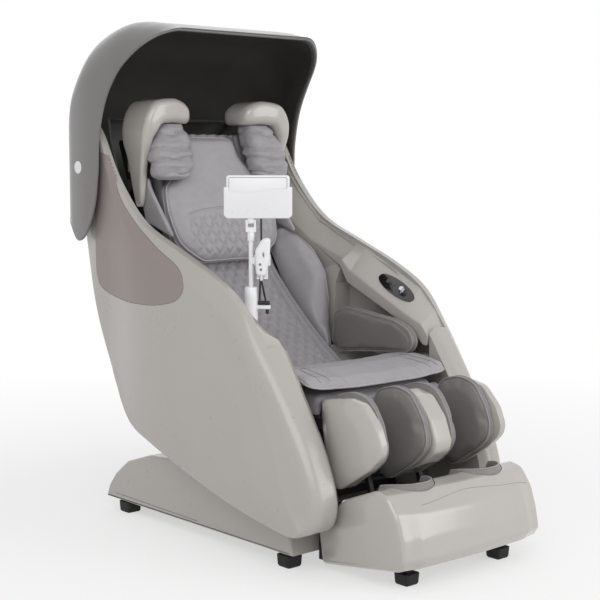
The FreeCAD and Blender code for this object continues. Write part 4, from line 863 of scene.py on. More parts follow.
# The side panels
CREST = [
    (490, 880, -1.0, 0.0, 3, 1), (484, 962, -1.0, -0.4, 3, 1), (430, 1030, 0.3, -1.0, 0, 1),
    (322, 884, 0.5, -0.85, 0, 1), (212, 780, 0.4, -0.9, 0, 1), (60, 716, 0.3, -0.95, 0, 1),
    (-80, 660, 0.4, -0.9, 0, 1), (-182, 602, 0.6, -0.8, 0, 1), (-247, 522, 0.8, -0.5, 1, 0.5),
    (-332, 398, 0.85, -0.3, 1, 0.8), (-412, 265, 0.9, -0.2, 1, 1), (-444, 160, 1.0, 0.3, 1, 1),
    (-420, 103, 0.6, 0.8, 2, 0.5), (-270, 117, 0.0, 1.0, 2, 1), (-97, 156, 0.0, 1.0, 2, 1),
    (135, 228, -0.2, 1.0, 2, 1), (240, 272, -0.8, 0.6, 3, 1), (389, 488, -0.85, 0.5, 3, 1),
    (466, 700, -1.0, 0.2, 3, 1), (488, 790, -1.0, 0.0, 3, 1)]
PANEL_STATIONS = [
    (238, 0, 4, 6, 0), (260, 0, -14, 0, 0), (296, 0, -10, 0, 0), (312, 0, 0, 0, 0), (324, 12, 18, 0, 0),
    (342, 42, 70, 4, 4), (354, 110, 125, 15, 12), (360, 190, 200, 60, 60)]
PANEL_STATION_FACE = 5
NARROWING = gliding([-600, 20, 60, 130, 215, 290, 340, 420, 505, 600],
                    [360, 360, 360, 357, 346, 330, 322, 316, 302, 302])
PANEL_INLAY = [
    (412, 604, 30), (336, 586, 40), (236, 576, 60), (97, 578, 60), (8, 594, 30), (-27, 622, 14), (1, 662, 30),
    (42, 685, 40), (111, 712, 60), (209, 764, 60), (276, 818, 50), (322, 880, 30), (352, 950, 5), (420, 960, 5)]


def panel_skin(name):
    """The smooth leaf of a side panel: rings round its rolled edge, then one taut face that narrows to the rear."""
    reach = [0.0]
    for a, b in zip(PANEL_STATIONS, PANEL_STATIONS[1:]):
        reach.append(reach[-1] + math.hypot(b[0] - a[0], sum(b[k] - a[k] for k in (1, 2, 3, 4)) / 4))
    flow = [gliding(reach, [s[k] for s in PANEL_STATIONS]) for k in range(5)]

    def edge_at(draws):
        return eased(swept([(y + dy * draws[part] * share, z + dz * draws[part] * share)
                            for y, z, dy, dz, part, share in CREST], 240), 3)

    def narrowed(x, y):
        return soft_min(x, NARROWING(y), 10.0)
    stop, count = reach[PANEL_STATION_FACE], 30
    walls = []
    for r in range(count + 1):
        x, *draws = (g(stop * r / count) for g in flow)
        walls.append((x, edge_at(draws)))
    whole = edge_at((0, 0, 0, 0))
    owners = [min(CREST, key=lambda c: math.dist(c[:2], p))[4] for p in whole]
    faces = []
    for part in range(4):
        away = line_tree([p for p, owner in zip(whole, owners) if owner == part])
        spots = [(s[part + 1], s[0]) for s in PANEL_STATIONS[3:]]
        spots = [p for p, q in zip(spots, spots[1:] + [(1e9, 0)]) if q[0] > p[0]]
        faces.append((away, gliding([p[0] for p in spots], [p[1] for p in spots])))

    def height(a, b):
        x = 400.0
        for away, rise in faces:
            x = soft_min(x, rise(away(a, b)), 9.0)
        return x
    verts, sides = crowned(walls, height, 9.0)
    obj = raw(name, ([(narrowed(x, a), a, b) for x, a, b in verts], sides))
    return taut(obj, "x", 40, lambda p: p.x > 322)


def make_side_panels(sizes):
    """The panels with a pocket for each inlay, and the inlays cut from the same skin."""
    skin = panel_skin("skin")
    under = twin_of(skin)
    under.data.transform(Matrix.Translation((-sizes.inlay_depth, 0, 0)))
    patch = eased(even(rounded(PANEL_INLAY, 12), 180), 24)
    block = raw("block", loft([side_ring(304, patch), side_ring(380, patch)]))
    wide = raw("wide", loft([side_ring(304, inset(patch, -0.9)), side_ring(380, inset(patch, -0.9))]))
    carve(wide, under, keep=True)
    carve(block, under)
    inlay = carve(twin_of(skin), block, "INTERSECT")
    panel = carve(skin, raw("inner", brick(100, 296, -265, 600, 60, 1100)))
    panel = carve(panel, wide)
    boss = raw("boss", turned_at("x", [
        (17, 296), (17.5, 320), (19, 321), (19, 322.3), (9, 322.4), (9, 330.5), (8, 331)], *HOOD_PIVOT))
    panel = joined("panel", panel, boss)
    for side, obj in (("left", panel), ("right", across(panel, "panel_right"))):
        finished(obj, "side_panel_%s_shell" % side, "seat_body", FINISHES["greige_shell"], 40)
        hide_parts("side_panel_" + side)
    both_inlays = joined("inlays", across(inlay, "inlay_mirror"), inlay)
    finished(both_inlays, "side_panel_inlays", "seat_body", FINISHES["bronze_inlay"], 30)
    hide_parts("side_inlays")


def turned_at(axis, profile, a, b, sides=32):
    """A turned form set off from its axis: y and z for 'x', x and y for 'z'."""
    verts, faces = turned(axis, profile, sides)
    shift = Vector((0, a, b)) if axis == "x" else Vector((a, b, 0))
    return [tuple(Vector(v) + shift) for v in verts], faces


# The armrests
DECK_IN, DECK_OUT = 236.0, 296.0
DECK_SLOPE = 0.47


def deck_z(y, x=DECK_IN):
    """The height of an armrest's deck, which falls to the front and to the inside."""
    return 569.0 + DECK_SLOPE * (y + 115.0) + (x - DECK_IN)


DECK_INNER = [
    (64, 668, 10), (27, 636, 12), (-35, deck_z(-35), 1), (-175, deck_z(-175), 8), (-236, 516, 20), (-262, 488, 16),
    (-256, 462, 5), (-242, 464, 8), (-209, 493, 20), (-88, 549, 20), (40, 604, 20), (74, 655, 6)]
DECK_OUTER = [
    (64, 708, 10), (27, 696, 12), (-35, deck_z(-35, DECK_OUT), 1), (-175, deck_z(-175, DECK_OUT), 8),
    (-232, 545, 20), (-263, 497, 12), (-256, 462, 5), (-242, 464, 8), (-215, 500, 20), (-88, 600, 20),
    (40, 664, 20), (74, 690, 6)]
WING_INNER = [
    (72, 640, 1), (72, 668, 6), (200, 712, 20), (300, 770, 20), (352, 832, 6), (362, 820, 4), (310, 690, 10),
    (240, 590, 10)]
WING_OUTER = [
    (64, 640, 1), (64, 700, 6), (212, 768, 20), (312, 862, 20), (386, 946, 6), (410, 900, 4), (330, 690, 10),
    (250, 590, 10)]
SIDE_WALL = [
    (-258, 426, 0), (-258, 470, 4), (-205, 556, 10), (-80, 646, 10), (60, 702, 10), (212, 766, 10), (300, 846, 10),
    (386, 946, 4), (420, 880, 0), (330, 640, 0), (250, 500, 0), (170, 426, 0)]
SEAT_LEDGE = [(-256, 426, 2), (170, 426, 1), (170, 438, 2), (-240, 438, 4), (-256, 434, 3)]
WING_POST = [(90, 430, 0), (170, 430, 0), (245, 590, 0), (100, 648, 0), (66, 640, 0), (84, 600, 10)]


def between(low, high, share):
    """The outline or row of corners part of the way from one to another."""
    return [tuple(a + (b - a) * share for a, b in zip(p, q)) for p, q in zip(low, high)]


def lofted_side(inner, outer, x0, x1, edge=3.0):
    """A moulding between two side views, its inner edge rounded over."""
    rings = [(x0 + edge * (1 - math.cos(t)), edge * (1 - math.sin(t))) for t in (math.pi / 2 * k / 5 for k in range(6))]
    made = []
    for x, draw in rings + [(x0 + (x1 - x0) * k / 8, 0.0) for k in range(1, 9)]:
        shape = rounded(between(inner, outer, (x - x0) / (x1 - x0)), 6)
        made.append(side_ring(x, inset(shape, draw)))
    return loft(made)


def make_armrests():
    """Each armrest: its deck and wing, the wall behind them, the ledge beside the seat and the post of the wing."""
    slabs = [
        lofted_side(DECK_INNER, DECK_OUTER, 236, 296), lofted_side(WING_INNER, WING_OUTER, 250, 296),
        loft([side_ring(x, rounded(SIDE_WALL)) for x in (290, 296)]),
        loft([side_ring(x, inset(rounded(SEAT_LEDGE), d)) for x, d in ((236, 1.2), (237.2, 0), (296, 0))]),
        loft([side_ring(x, rounded(WING_POST)) for x in (236, 296)])]
    left = raw("armrest", merged(*slabs))
    for side, obj in (("left", left), ("right", across(left, "armrest_r"))):
        finished(obj, "armrest_%s_deck" % side, "seat_body", FINISHES["pearl_shell"], 30)
        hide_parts("armrest_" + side)


# The hood
HOOD_PIVOT = (461, 913)
ARCHES = [(144, 302, 1262, 100), (165, 302, 1262, 100), (250, 318, 1279, 118), (330, 334, 1288, 128),
          (420, 340, 1268, 136), (500, 331, 1218, 150), (560, 303, 1160, 165), (600, 265, 1095, 165),
          (633, 214, 1010, 140), (654, 150, 918, 100)]
HOOD_RIM = [(200, 1244), (253, 1195), (300, 1145), (343, 1075), (369, 980), (374, 900), (384, 830), (408, 770),
            (440, 732), (475, 724), (520, 760), (600, 786), (665, 800)]


def arch_flow():
    ys = [a[0] for a in ARCHES]
    return [gliding(ys, [a[k] for a in ARCHES]) for k in (1, 2, 3)]


def arch_at(y, flow, wall):
    """One section of the dome: up the side, over the corner and across."""
    slope = wall * (1.6 if y > 480 else 1.0 + 0.6 * max(0.0, (y - 420) / 60))
    half, top, radius = flow[0](y) - slope, flow[1](y) - slope, flow[2](y) - slope / 2
    corner = [(half, 590.0)] + [(half - radius + radius * math.cos(t), top - radius + radius * math.sin(t))
                                for t in (math.pi / 2 * k / 16 for k in range(17))]
    corner = [corner[0]] + [(half, 590 + (top - radius - 590) * k / 10) for k in range(1, 10)] + corner[1:]
    corner += [((half - radius) * (1 - k / 8), top) for k in range(1, 8)]
    return corner + [(0.0, top)] + [(-a, b) for a, b in reversed(corner)]


def dome(name, wall):
    """The hood's dome, closed at its rear, its surface in from the outside by wall."""
    flow = arch_flow()
    stops = [144, 165] + [165 + (654 - wall - 165) * math.sin(math.pi / 2 * k / 40) for k in range(1, 41)]
    return raw(name, loft([[(a, y, b) for a, b in arch_at(y, flow, wall)] for y in stops]))


def rim_block(name, line):
    """The space behind and above the hood's rim."""
    edge = swept([(160, 1268)] + line, 90, closed=False)
    outline = [(150, 1320), (150, 1268)] + edge[1:] + [(680, 802), (680, 1320)]
    return raw(name, loft([[(x, a, b) for a, b in outline] for x in (-420, 420)]))


def make_hood():
    wall = 7.0
    shell = carve(dome("hood_outer", 0.0), dome("hood_inner", wall))
    shell = carve(shell, rim_block("rim", HOOD_RIM), "INTERSECT")
    hubs = []
    for side in (1, -1):
        eye = raw("eye", turned_at("x", [(9.05, 300), (9.05, 345)], *HOOD_PIVOT))
        recess = raw("recess", turned_at("x", [(17.6, 332.6), (17.6, 350)], *HOOD_PIVOT))
        hub = raw("hub", turned_at("x", [(9.3, 323.5), (19, 323.5), (20, 324.5), (20, 331), (9.3, 331)], *HOOD_PIVOT))
        for cutter in (eye, recess):
            carve(shell, cutter if side > 0 else mirrored_in_place(cutter))
        hubs.append(hub if side > 0 else mirrored_in_place(hub))
    bead = raw("bead", pipe(hood_edge(3.5), 3.7, 12, closed=False))
    shell = joined("hood", shell, bead, *hubs)
    finished(shell, "hood_shell_painted", "hood", FINISHES["hood_paint"], 30)
    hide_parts("hood_shell")

    liner = carve(dome("liner_outer", 7.4), dome("liner_inner", 11.0))
    trim = [(y + 9, z + (6 if z < 900 else -2)) for y, z in HOOD_RIM]
    liner = carve(liner, rim_block("trim", trim), "INTERSECT")
    liner = carve(liner, raw("window", brick(-400, 400, 421, 501, 690, 953)))
    liner = carve(liner, raw("skirt", brick(-400, 400, 380, 700, 680, 800)))
    finished(liner, "hood_liner_moulded", "hood", FINISHES["hood_lining"], 35)
    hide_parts("hood_liner")
    caps = []
    for side in (1, -1):
        cap = raw("cap", turned_at("x", [(4, 330), (17, 332.9), (17, 336.5), (16.4, 338.4), (14, 339.4), (10, 339.6),
                                        (4, 339.7), (0.01, 339.7)], *HOOD_PIVOT, 40))
        caps.append(cap if side > 0 else mirrored_in_place(cap))
    caps = joined("caps", *caps)
    finished(caps, "hood_pivot_caps", "hood", FINISHES["white_plastic"], 40)
    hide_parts("hood_caps")


def hood_edge(inside):
    """The line of the hood's rim, round from one lower corner over the top to the other."""
    flow = arch_flow()
    rim = swept([(160, 1268)] + HOOD_RIM, 260, closed=False)
    right = []
    for y, z in rim:
        half, top, radius = flow[0](y) - inside, flow[1](y) - inside, flow[2](y) - inside / 2
        if z >= top:
            continue
        if z < top - radius:
            x = half
        else:
            x = half - radius + math.sqrt(max(radius ** 2 - (z - top + radius) ** 2, 0.0))
        if y < 640:
            right.append((x, y, z))
    right.reverse()
    start = right[-1]
    bridge = [(start[0] * (1 - k / 20), start[1], start[2]) for k in range(1, 20)]
    whole = right + bridge + [(-x, y, z) for x, y, z in reversed(right)]
    return even(whole, 500, closed=False)


# The shoulder units
HOOK = [
    (-113, 1048, 1, -0.05, 24, 318, 376, 12), (-109, 1049, 1, -0.05, 38, 300, 388, 18),
    (-100, 1052, 1, -0.05, 50, 290, 396, 20), (-80, 1057, 1, -0.03, 60, 283, 401, 20),
    (-51, 1061, 1, 0, 64, 278, 405, 20), (-6, 1056, 0.93, -0.37, 64, 274, 406, 20),
    (20, 1024, 0.6, -0.8, 50, 276, 404, 18), (28, 982, 0.12, -0.99, 33, 290, 399, 13),
    (25, 930, 0, -1, 24, 310, 384, 10), (24, 872, 0, -1, 22, 320, 370, 9),
    (22, 822, 0, -1, 18, 328, 358, 8), (22, 811, 0, -1, 9, 333, 353, 4)]


def hook_form():
    """The hooked shell: a thick roof that turns down into a tapering arm, its edges well rounded."""
    reach = [0.0]
    for a, b in zip(HOOK, HOOK[1:]):
        reach.append(reach[-1] + max(math.dist(a[:2], b[:2]), 4))
    flow = [gliding(reach, [h[k] for h in HOOK]) for k in range(8)]
    rings, count = [], 60
    for r in range(count + 1):
        out, z, dx, dz, thick, front, rear, radius = (g(reach[-1] * r / count) for g in flow)
        size = math.hypot(dx, dz)
        dx, dz, half, x = dx / size, dz / size, thick / 2, 201 + out
        radius = min(radius * 1.15, half * 0.98)
        corners = [(-half, front, radius), (half, front, radius * 0.8), (half, rear, radius), (-half, rear, radius)]
        section = even(rounded(corners, 8), 64)
        rings.append([(x - n * dz, y, z + n * dx) for n, y in section])
    return rings


def make_shoulders():
    for side in ("left", "right"):
        shell = raw("hook", loft(hook_form()))
        guide = raw("guide", brick(201.5, 220, 384, 404, 900, 1010, 1.5))
        shell = joined("shoulder", shell, guide)
        sleeve = gathered_sleeve()
        if side == "right":
            for obj in (shell, sleeve):
                mirrored_in_place(obj)
        body = "shoulder_" + side
        finished(shell, body + "_hook", body, FINISHES["pearl_shell"], 40)
        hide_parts("shoulder_shell_" + side)
        finished(sleeve, body + "_bag", body, FINISHES["sleeve_leather"], 180)
        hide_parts("shoulder_sleeve_" + side)


def gathered_sleeve():
    """The leather bag under the roof: loose folds that run round it at a slant, and a flat foot."""
    rings, rows, around = [], 90, 96
    for r in range(rows + 1):
        k = r / rows
        forward = math.sin(k * math.pi / 2)
        x0, x1 = 112 + 4 * k - 8 * math.sin(math.pi * k), 182 + 34 * math.sin(min(1, 1.5 * k) * math.pi / 2)
        y0, y1 = 296 - 40 * forward, 362 - 58 * forward
        z = 1026.6 - 146 * k
        shape = even(rounded(oblong(x0, x1, y0, y1, 24, 18), 8), around)
        mx, my = (x0 + x1) / 2, (y0 + y1) / 2
        ring = []
        for i, (a, b) in enumerate(shape):
            turn = math.tau * i / around
            drift = (0.55 * math.sin(turn + 0.7) + 0.35 * math.sin(2 * turn + 1.9)
                     + 0.5 * noise.noise((a * 0.02, b * 0.02, z * 0.008)))
            fold = (k * 4.3 + 0.12 * math.sin(k * 11) + drift * 0.8) % 1.0
            crest = math.sin(math.pi * fold) ** 0.6
            fine = noise.noise((a * 0.035, b * 0.035, z * 0.07)) * 3.2 + noise.noise((a * 0.1, b * 0.1, z * 0.22)) * 0.9
            fade = min(1.0, k * 9, (1 - k) * 7 + 0.15)
            push = (crest * 8.0 - 4.5 + fine) * fade + 6.0 * math.sin(math.pi * k) ** 0.7
            foot = max(0.0, 1 - (1 - k) * 11) ** 2 * 13
            size = math.hypot(a - mx, b - my)
            a += (a - mx) / size * (push - foot)
            b += (b - my) / size * (push - foot)
            ring.append((a, b, z + (a - mx) * 0.05 * math.sin(k * 18) * fade))
        rings.append(ring)
    return raw("bag", loft(rings))


# The upholstery
BACK_LEAN = math.radians(19.9)
BACK_Y, BACK_Z = 256.0, 646.0


def along_back(v, off=0.0):
    """A point of the side view, v up the leaning back and off to its front."""
    return (BACK_Y + v * math.sin(BACK_LEAN) - off * math.cos(BACK_LEAN),
            BACK_Z + v * math.cos(BACK_LEAN) + off * math.sin(BACK_LEAN))


def leaned(part):
    """Stands a piece drawn flat (x, length, front) against the back."""
    return [(x, *along_back(v, off)) for x, v, off in part[0]], part[1]


def pad_form(outline, levels, plane="yz"):
    """A pad between levels of (place, draw), its outline drawn in by the draw."""
    rings = []
    for level, draw in levels:
        edge = inset(outline, draw)
        rings.append([(level, a, b) if plane == "yz" else (a, b, level) for a, b in edge])
    return loft(rings)


def smooth_levels(levels, count=16):
    """Levels (place, draw) with smooth ones between them."""
    place, draw = (gliding(range(len(levels)), [p[i] for p in levels]) for i in (0, 1))
    return [(place(t), draw(t)) for t in ((len(levels) - 1) * k / count for k in range(count + 1))]


def channel(distance, width):
    """How deep a sewn line draws the cover in at a distance from it, 0 to 1."""
    return math.exp(-(distance / width) ** 1.4)


def diamond(u, v, pitch):
    """The fullness of a quilted diamond at a point: 0 on its seams, 1 in the middle."""
    a, b = (u + v) / (2 * pitch), (u - v) / (2 * pitch)
    da, db = abs((a + 0.5) % 1.0 - 0.5), abs((b + 0.5) % 1.0 - 0.5)
    near = min(da, db) * 2
    return min(1.0, (math.sin(math.pi * da) * math.sin(math.pi * db)) ** 0.35 * 1.02) * (1 - math.exp(-near * 7))


def back_front():
    """The back cushion's front in the side view, from the top down."""
    top, knee = along_back(378, -0.3), along_back(2, -0.3)
    ax, ay, bx, by, cx, cy = *knee, 154, 545, -50, 392
    d = 2 * (ax * (by - cy) + bx * (cy - ay) + cx * (ay - by))
    mx = ((ax * ax + ay * ay) * (by - cy) + (bx * bx + by * by) * (cy - ay) + (cx * cx + cy * cy) * (ay - by)) / d
    my = ((ax * ax + ay * ay) * (cx - bx) + (bx * bx + by * by) * (ax - cx) + (cx * cx + cy * cy) * (bx - ax)) / d
    radius = math.hypot(ax - mx, ay - my)
    first, last = math.atan2(ay - my, ax - mx), math.atan2(cy - my, cx - mx)
    if last > first:
        last -= math.tau
    steps = 40
    arc = [(mx + radius * math.cos(first + (last - first) * k / steps),
            my + radius * math.sin(first + (last - first) * k / steps)) for k in range(steps + 1)]
    return [top] + arc + [(-71, 391)]


def make_back(sizes):
    quilt = sizes.quilt / MM
    front = eased(even(back_front(), 340, closed=False), 12, closed=False)
    behind = [front[-1], (-71, 346), (-50, 346.5), (196, 516), (303, 672), (428, 990), front[0]]
    rear = even(behind, 60, closed=False)[1:-1]
    half, seams = 165.0, (126.0, 146.0)
    cols = ([-half, -half + 0.6, -half + 2.5, -half + 5.5] + [-half + 8 + (2 * half - 16) * k / 132 for k in range(133)]
            + [half - 5.5, half - 2.5, half - 0.6, half])
    rings = []
    run = [0.0]
    for a, b in zip(front, front[1:]):
        run.append(run[-1] + math.dist(a, b))
    for x in cols:
        side = half - abs(x)
        roll = 11 * (1 - math.sqrt(max(0.0, 1 - (1 - min(side, 14) / 14) ** 2)))
        ring = []
        for j, (y, z) in enumerate(front):
            a, b = front[max(j - 1, 0)], front[min(j + 1, len(front) - 1)]
            size = math.hypot(b[0] - a[0], b[1] - a[1])
            lift = -roll
            if abs(x) < seams[0]:
                lift += 6.0 * diamond(x * 1.3, run[j], quilt * 1.1) * min(1.0, (seams[0] - abs(x)) / 9) - 4.4
            for seam in seams:
                lift -= 2.6 * channel(abs(abs(x) - seam), 2.4)
            if seams[0] < abs(x) < seams[1]:
                lift += 1.2 * math.sin(math.pi * (abs(x) - seams[0]) / (seams[1] - seams[0]))
            lift += 0.5 * noise.noise((x * 0.03, run[j] * 0.02, 3.1))
            ring.append((x, y + (b[1] - a[1]) / size * lift, z - (b[0] - a[0]) / size * lift))
        ring += [(x, y - min(roll, 9) * 0.3, z) for y, z in rear]
        rings.append(ring)
    obj = raw("back", loft(rings))
    finished(obj, "back_cushion_quilted", "seat_body", FINISHES["quilt_leather"], 180)
    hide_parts("back_cushion")
    lines = []
    for x in (-seams[1], -seams[0], seams[0], seams[1]):
        for off in (-2.3, 2.3):
            lines.append(laid_on(obj, [(x + off, y, z) for y, z in front[120:-6:3]], 0.35))
    edging("back_seam_stitches", lines, "seat_body", "taupe_leather", "thread", "Stitches", False, Pitch=sizes.stitch)


BOLSTER = {
    167: [(300, 735, 10), (200, 622, 20), (100, 520, 20), (40, 470, 20), (40, 420, 10), (70, 412, 10), (150, 470, 20),
          (235, 580, 20), (318, 722, 10)],
    197: [(300, 748, 16), (194, 690, 30), (116, 614, 40), (88, 540, 30), (62, 470, 20), (48, 420, 10), (90, 414, 10),
          (150, 470, 20), (238, 582, 20), (320, 725, 10)],
    233: [(300, 752, 16), (232, 738, 30), (160, 704, 40), (104, 640, 40), (97, 580, 30), (100, 552, 14), (118, 500, 14),
          (134, 470, 10), (160, 480, 20), (240, 585, 20), (322, 728, 10)]}


def make_bolsters():
    shapes = {x: eased(even(rounded(line, 8), 200), 8) for x, line in BOLSTER.items()}
    rings = []
    for k in range(25):
        x = 167 + 66 * k / 24
        low, high = (167, 197) if x < 197 else (197, 233)
        share = (x - low) / (high - low)
        draw = 8 * max(0.0, 1 - k / 3) ** 1.5 + 9 * max(0.0, 1 - (24 - k) / 5) ** 1.7
        rings.append(side_ring(x, inset(between(shapes[low], shapes[high], share), draw)))
    obj = raw("bolster", loft(rings))
    around = inset(even(rounded(HEAD_OUTLINE, 10), 160), -5)
    carve(obj, raw("over", leaned(pad_form(around, [(-0.5, 0), (170, 0)], "xy"))))
    puffed(obj, 4, 3.0, 5.0, 3.0)
    fair(obj, 3)
    rim = [(226.0, p, q) for p, q in inset(shapes[233], 2.0)]
    rim = [p for p in rim if along_depth(p) > 8.0 and p[2] > 478]
    start = max(range(len(rim)), key=lambda i: math.dist(rim[i - 1], rim[i]))
    rim = rim[start:] + rim[:start]
    welts = [laid_on(obj, eased(rim, 6, False), 0.7)]
    welts += mirror_lines(welts)
    both_sides = joined("bolsters", across(obj, "bolster_r"), obj)
    finished(both_sides, "back_bolsters_padded", "seat_body", FINISHES["taupe_leather"], 180)
    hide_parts("back_bolsters")
    edging("back_bolster_piping", welts, "seat_body", closed=False, Radius=0.0023)


def along_depth(p):
    """How far a point stands in front of the plane that the head pad lies on."""
    dy, dz = p[1] - BACK_Y, p[2] - BACK_Z
    return -dy * math.cos(BACK_LEAN) + dz * math.sin(BACK_LEAN)


HEAD_PAD = [(105, 4, 40), (172, 60, 60), (186, 150, 60), (180, 218, 30), (104, 300, 40), (86, 366, 30)]
HEAD_OUTLINE = HEAD_PAD + [(-a, b, r) for a, b, r in reversed(HEAD_PAD)]


def make_head_pad(sizes):
    outline = even(rounded(HEAD_OUTLINE, 10), 300)
    levels = smooth_levels([(0, 10), (6, 2.5), (16, 0), (30, 0.8), (38, 4), (43, 11), (46, 26)], 18)
    obj = raw("head", leaned(pad_form(outline, levels, "xy")))
    puffed(obj, 6, 3.0, 5.0, 3.0)
    modified(obj, "SUBSURF", levels=1, render_levels=1)
    quilt = sizes.quilt / MM
    seam = [(x, 152 - 16 * (x / 130) ** 2) for x in range(-128, 129, 4)]
    curve = gliding([p[0] for p in seam], [p[1] for p in seam])
    for v in obj.data.vertices:
        x, y, z = v.co / MM
        off = along_depth((x, y, z))
        if off < 30:
            continue
        v_up = (y - BACK_Y) * math.sin(BACK_LEAN) + (z - BACK_Z) * math.cos(BACK_LEAN)
        top = curve(x)
        lift = -2.4 * channel(abs(v_up - top), 2.6) if abs(x) < 128 else 0.0
        inside = min(top - 8 - v_up, v_up - 16, 140 - abs(x) - max(0.0, 70 - v_up) * 0.5)
        if inside > 0:
            lift += (5.2 * diamond(x * 1.35, v_up, quilt * 1.1) - 3.6) * min(1.0, inside / 14)
        v.co += Vector((0.0, -math.cos(BACK_LEAN), math.sin(BACK_LEAN))) * lift * MM
    finished(obj, "head_pad_quilted", "seat_body", FINISHES["taupe_leather"], 180)
    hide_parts("head_pad")
    welts = [laid_on(obj, [(a, *along_back(b, off)) for a, b in outline], lift) for off, lift in ((33, 0.8), (14, 0.4))]
    edging("head_pad_piping", welts, "seat_body", Radius=0.0023)
    arc = laid_on(obj, [(x, *along_back(v + 3.4, 50)) for x, v in seam[2:-2]], 0.3)
    edging("head_pad_stitches", [arc], "seat_body", "taupe_leather", "thread", "Stitches", False, Pitch=0.005)


WING_PAD = [(204, 725, 8), (312, 862, 22), (322, 886, 12), (374, 896, 10), (340, 768, 22), (296, 755, 12)]


def make_wings():
    outline = even(rounded(WING_PAD), 150)
    levels = smooth_levels([(201.4, 6), (203.5, 1.5), (209, 0), (211.5, 2), (213.4, 7)], 10)
    obj = raw("wing", pad_form(outline, levels))
    puffed(obj, 1.5, 2.0, 3.0, 1.0)
    pair = joined("wings", across(obj, "wing_r"), obj)
    finished(pair, "wing_pads_padded", "seat_body", FINISHES["taupe_leather"], 180)
    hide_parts("wing_pads")


HIP = [(66, 531, 14), (10, 551, 30), (-170, 531, 40), (-228, 506, 30), (-250, 466, 20), (-222, 437, 12), (50, 411, 20),
       (76, 450, 10)]


def make_hips():
    outline = eased(even(rounded([(a, b, r * 1.7) for a, b, r in HIP], 10), 240), 14)
    levels = smooth_levels([(201.4, 10), (204, 5), (210, 0.5), (222, 0), (230, 2), (235.6, 5)], 14)
    obj = raw("hip", pad_form(outline, levels))
    puffed(obj, 5, 4.0, 4.5, 3.0)
    for v in obj.data.vertices:
        v.co.x = min(v.co.x, 0.2357)
    lines = [laid_on(obj, side_ring(200.0, inset(outline, 14)), 0.0)]
    pressed(obj, lines, 3.0, 1.6)
    welts = [laid_on(obj, side_ring(204.0, inset(outline, 3.0)), 0.3), laid_on(obj, side_ring(222.0, outline), 0.2)]
    pair = joined("hips", across(obj, "hip_r"), obj)
    finished(pair, "hip_pads_padded", "seat_body", FINISHES["dark_leather"], 180)
    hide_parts("hip_pads")
    edging("hip_pad_piping", welts + mirror_lines(welts), "seat_body", "dark_leather", "dark_piping", Radius=0.002)


def make_seat(sizes):
    quilt = sizes.quilt / MM
    edge = 190.7
    cols = [-edge + edge * 2 * k / 150 for k in range(151)]
    rings = []
    for x in cols:
        side = edge - abs(x)
        roll = 12 * (1 - math.sqrt(max(0.0, 1 - (1 - min(side, 16) / 16) ** 2)))
        crown = 4.0 * (1 - (x / edge) ** 2)
        top = []
        for j in range(97):
            y = -74 - j * 2.41
            fill = 3.6 * diamond(x, y, quilt) - 3.0 if abs(x) < 150 and 8 < j < 90 else 0.0
            top.append((x, y, 390 + crown + fill - roll))
        low = [(x, -317 + roll * 0.5, 346), (x, -200, 346), (x, -74, 346)]
        nose = -317 + roll * 0.5
        front = even([(x, -308, 389 + crown - roll), (x, -314 + roll * 0.4, 386 + crown * 0.6 - roll),
                      (x, nose, 378 - roll * 0.5), (x, nose, 348)], 12, closed=False)
        rings.append([(x, -74, 350)] + top + front + low)
    obj = raw("seat", loft(rings))
    finished(obj, "seat_cushion_quilted", "seat_body", FINISHES["quilt_leather"], 180)
    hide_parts("seat_cushion")
    flap = flap_form()
    finished(flap, "seat_flap_sewn", "seat_body", FINISHES["taupe_leather"], 180)
    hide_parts("seat_flap")
    edging("seat_flap_piping", [laid_on(flap, flap_rim(), 1.2)], "seat_body", closed=False, Radius=0.0027)
    # Painted shade: thin dark lines laid along the flap's sewn channels stand in for the shade in them.
    lines = [laid_on(flap, [(x * (1 + 0.1 * k / 12), -215 - 11 * k, 445) for k in range(13)], 0.2)
             for x in (-178, -152, 152, 178)]
    edging("seat_flap_seam_shade", lines, "seat_body", "black_plastic", "seam_line", closed=False, Radius=0.0007)


FLAP_HALF, FLAP_SPREAD = 222, 1.035
FLAP_LIFT = gliding([0, 60, 150, 215, 222], [17, 17, 20, 25, 27])
FLAP_FRONT = gliding([0, 60, 150, 195, 214, 222], [-356, -356, -353, -345, -334, -316])


def flap_section(x):
    """The flap's section at x: thin at its free edges, over the seat and down its front."""
    share = abs(x) / FLAP_HALF
    lift, front = FLAP_LIFT(abs(x)), FLAP_FRONT(abs(x))
    thin = 7.0 * max(0.0, (share - 0.9) / 0.1) ** 2
    back_up = 26 * max(0.0, (share - 0.8) / 0.2) ** 2
    wave = 1.2 * noise.noise((x * 0.012, 1.3, 0.2))
    low = [(-150 - back_up, 396 + lift, 2), (-240, 393 + lift, 20), (-320, 390.8 + lift, 10),
           (front, 384.5 + lift + wave, 3)]
    high = [(front - 3, 394 + lift - thin * 0.5 + wave, 3), (-322, 410 + lift - thin, 24),
            (-240, 421 + lift - thin, 30), (-152 - back_up, 416 + lift - thin, 5)]
    return rounded(low + high, 6)


def flap_form():
    rings = [side_ring(x * FLAP_SPREAD, even(flap_section(x), 120)) for x in
             [-FLAP_HALF, -221, -219, -216] + [-212 + 424 * k / 90 for k in range(91)] + [216, 219, 221, FLAP_HALF]]
    obj = raw("flap", loft(rings))
    puffed(obj, 2.5, 1.5, 4.5, 1.5)
    lines = [[(x, -156 - 200 * k / 20, 440 - (k / 20) ** 4 * 18) for k in range(21)] for x in (-178, -124, 124, 178)]
    pressed(obj, [laid_on(obj, line) for line in lines], 2.8, 1.8)
    upper = [v for v in obj.data.vertices if v.normal.z > 0.2]
    for v in upper:
        x, y, _ = v.co / MM
        v.co.z += (1.6 * noise.noise((x * 0.018, y * 0.03, 5.0)) + 0.7 * noise.noise((x * 0.05, y * 0.06, 2.0))) * MM
    return obj


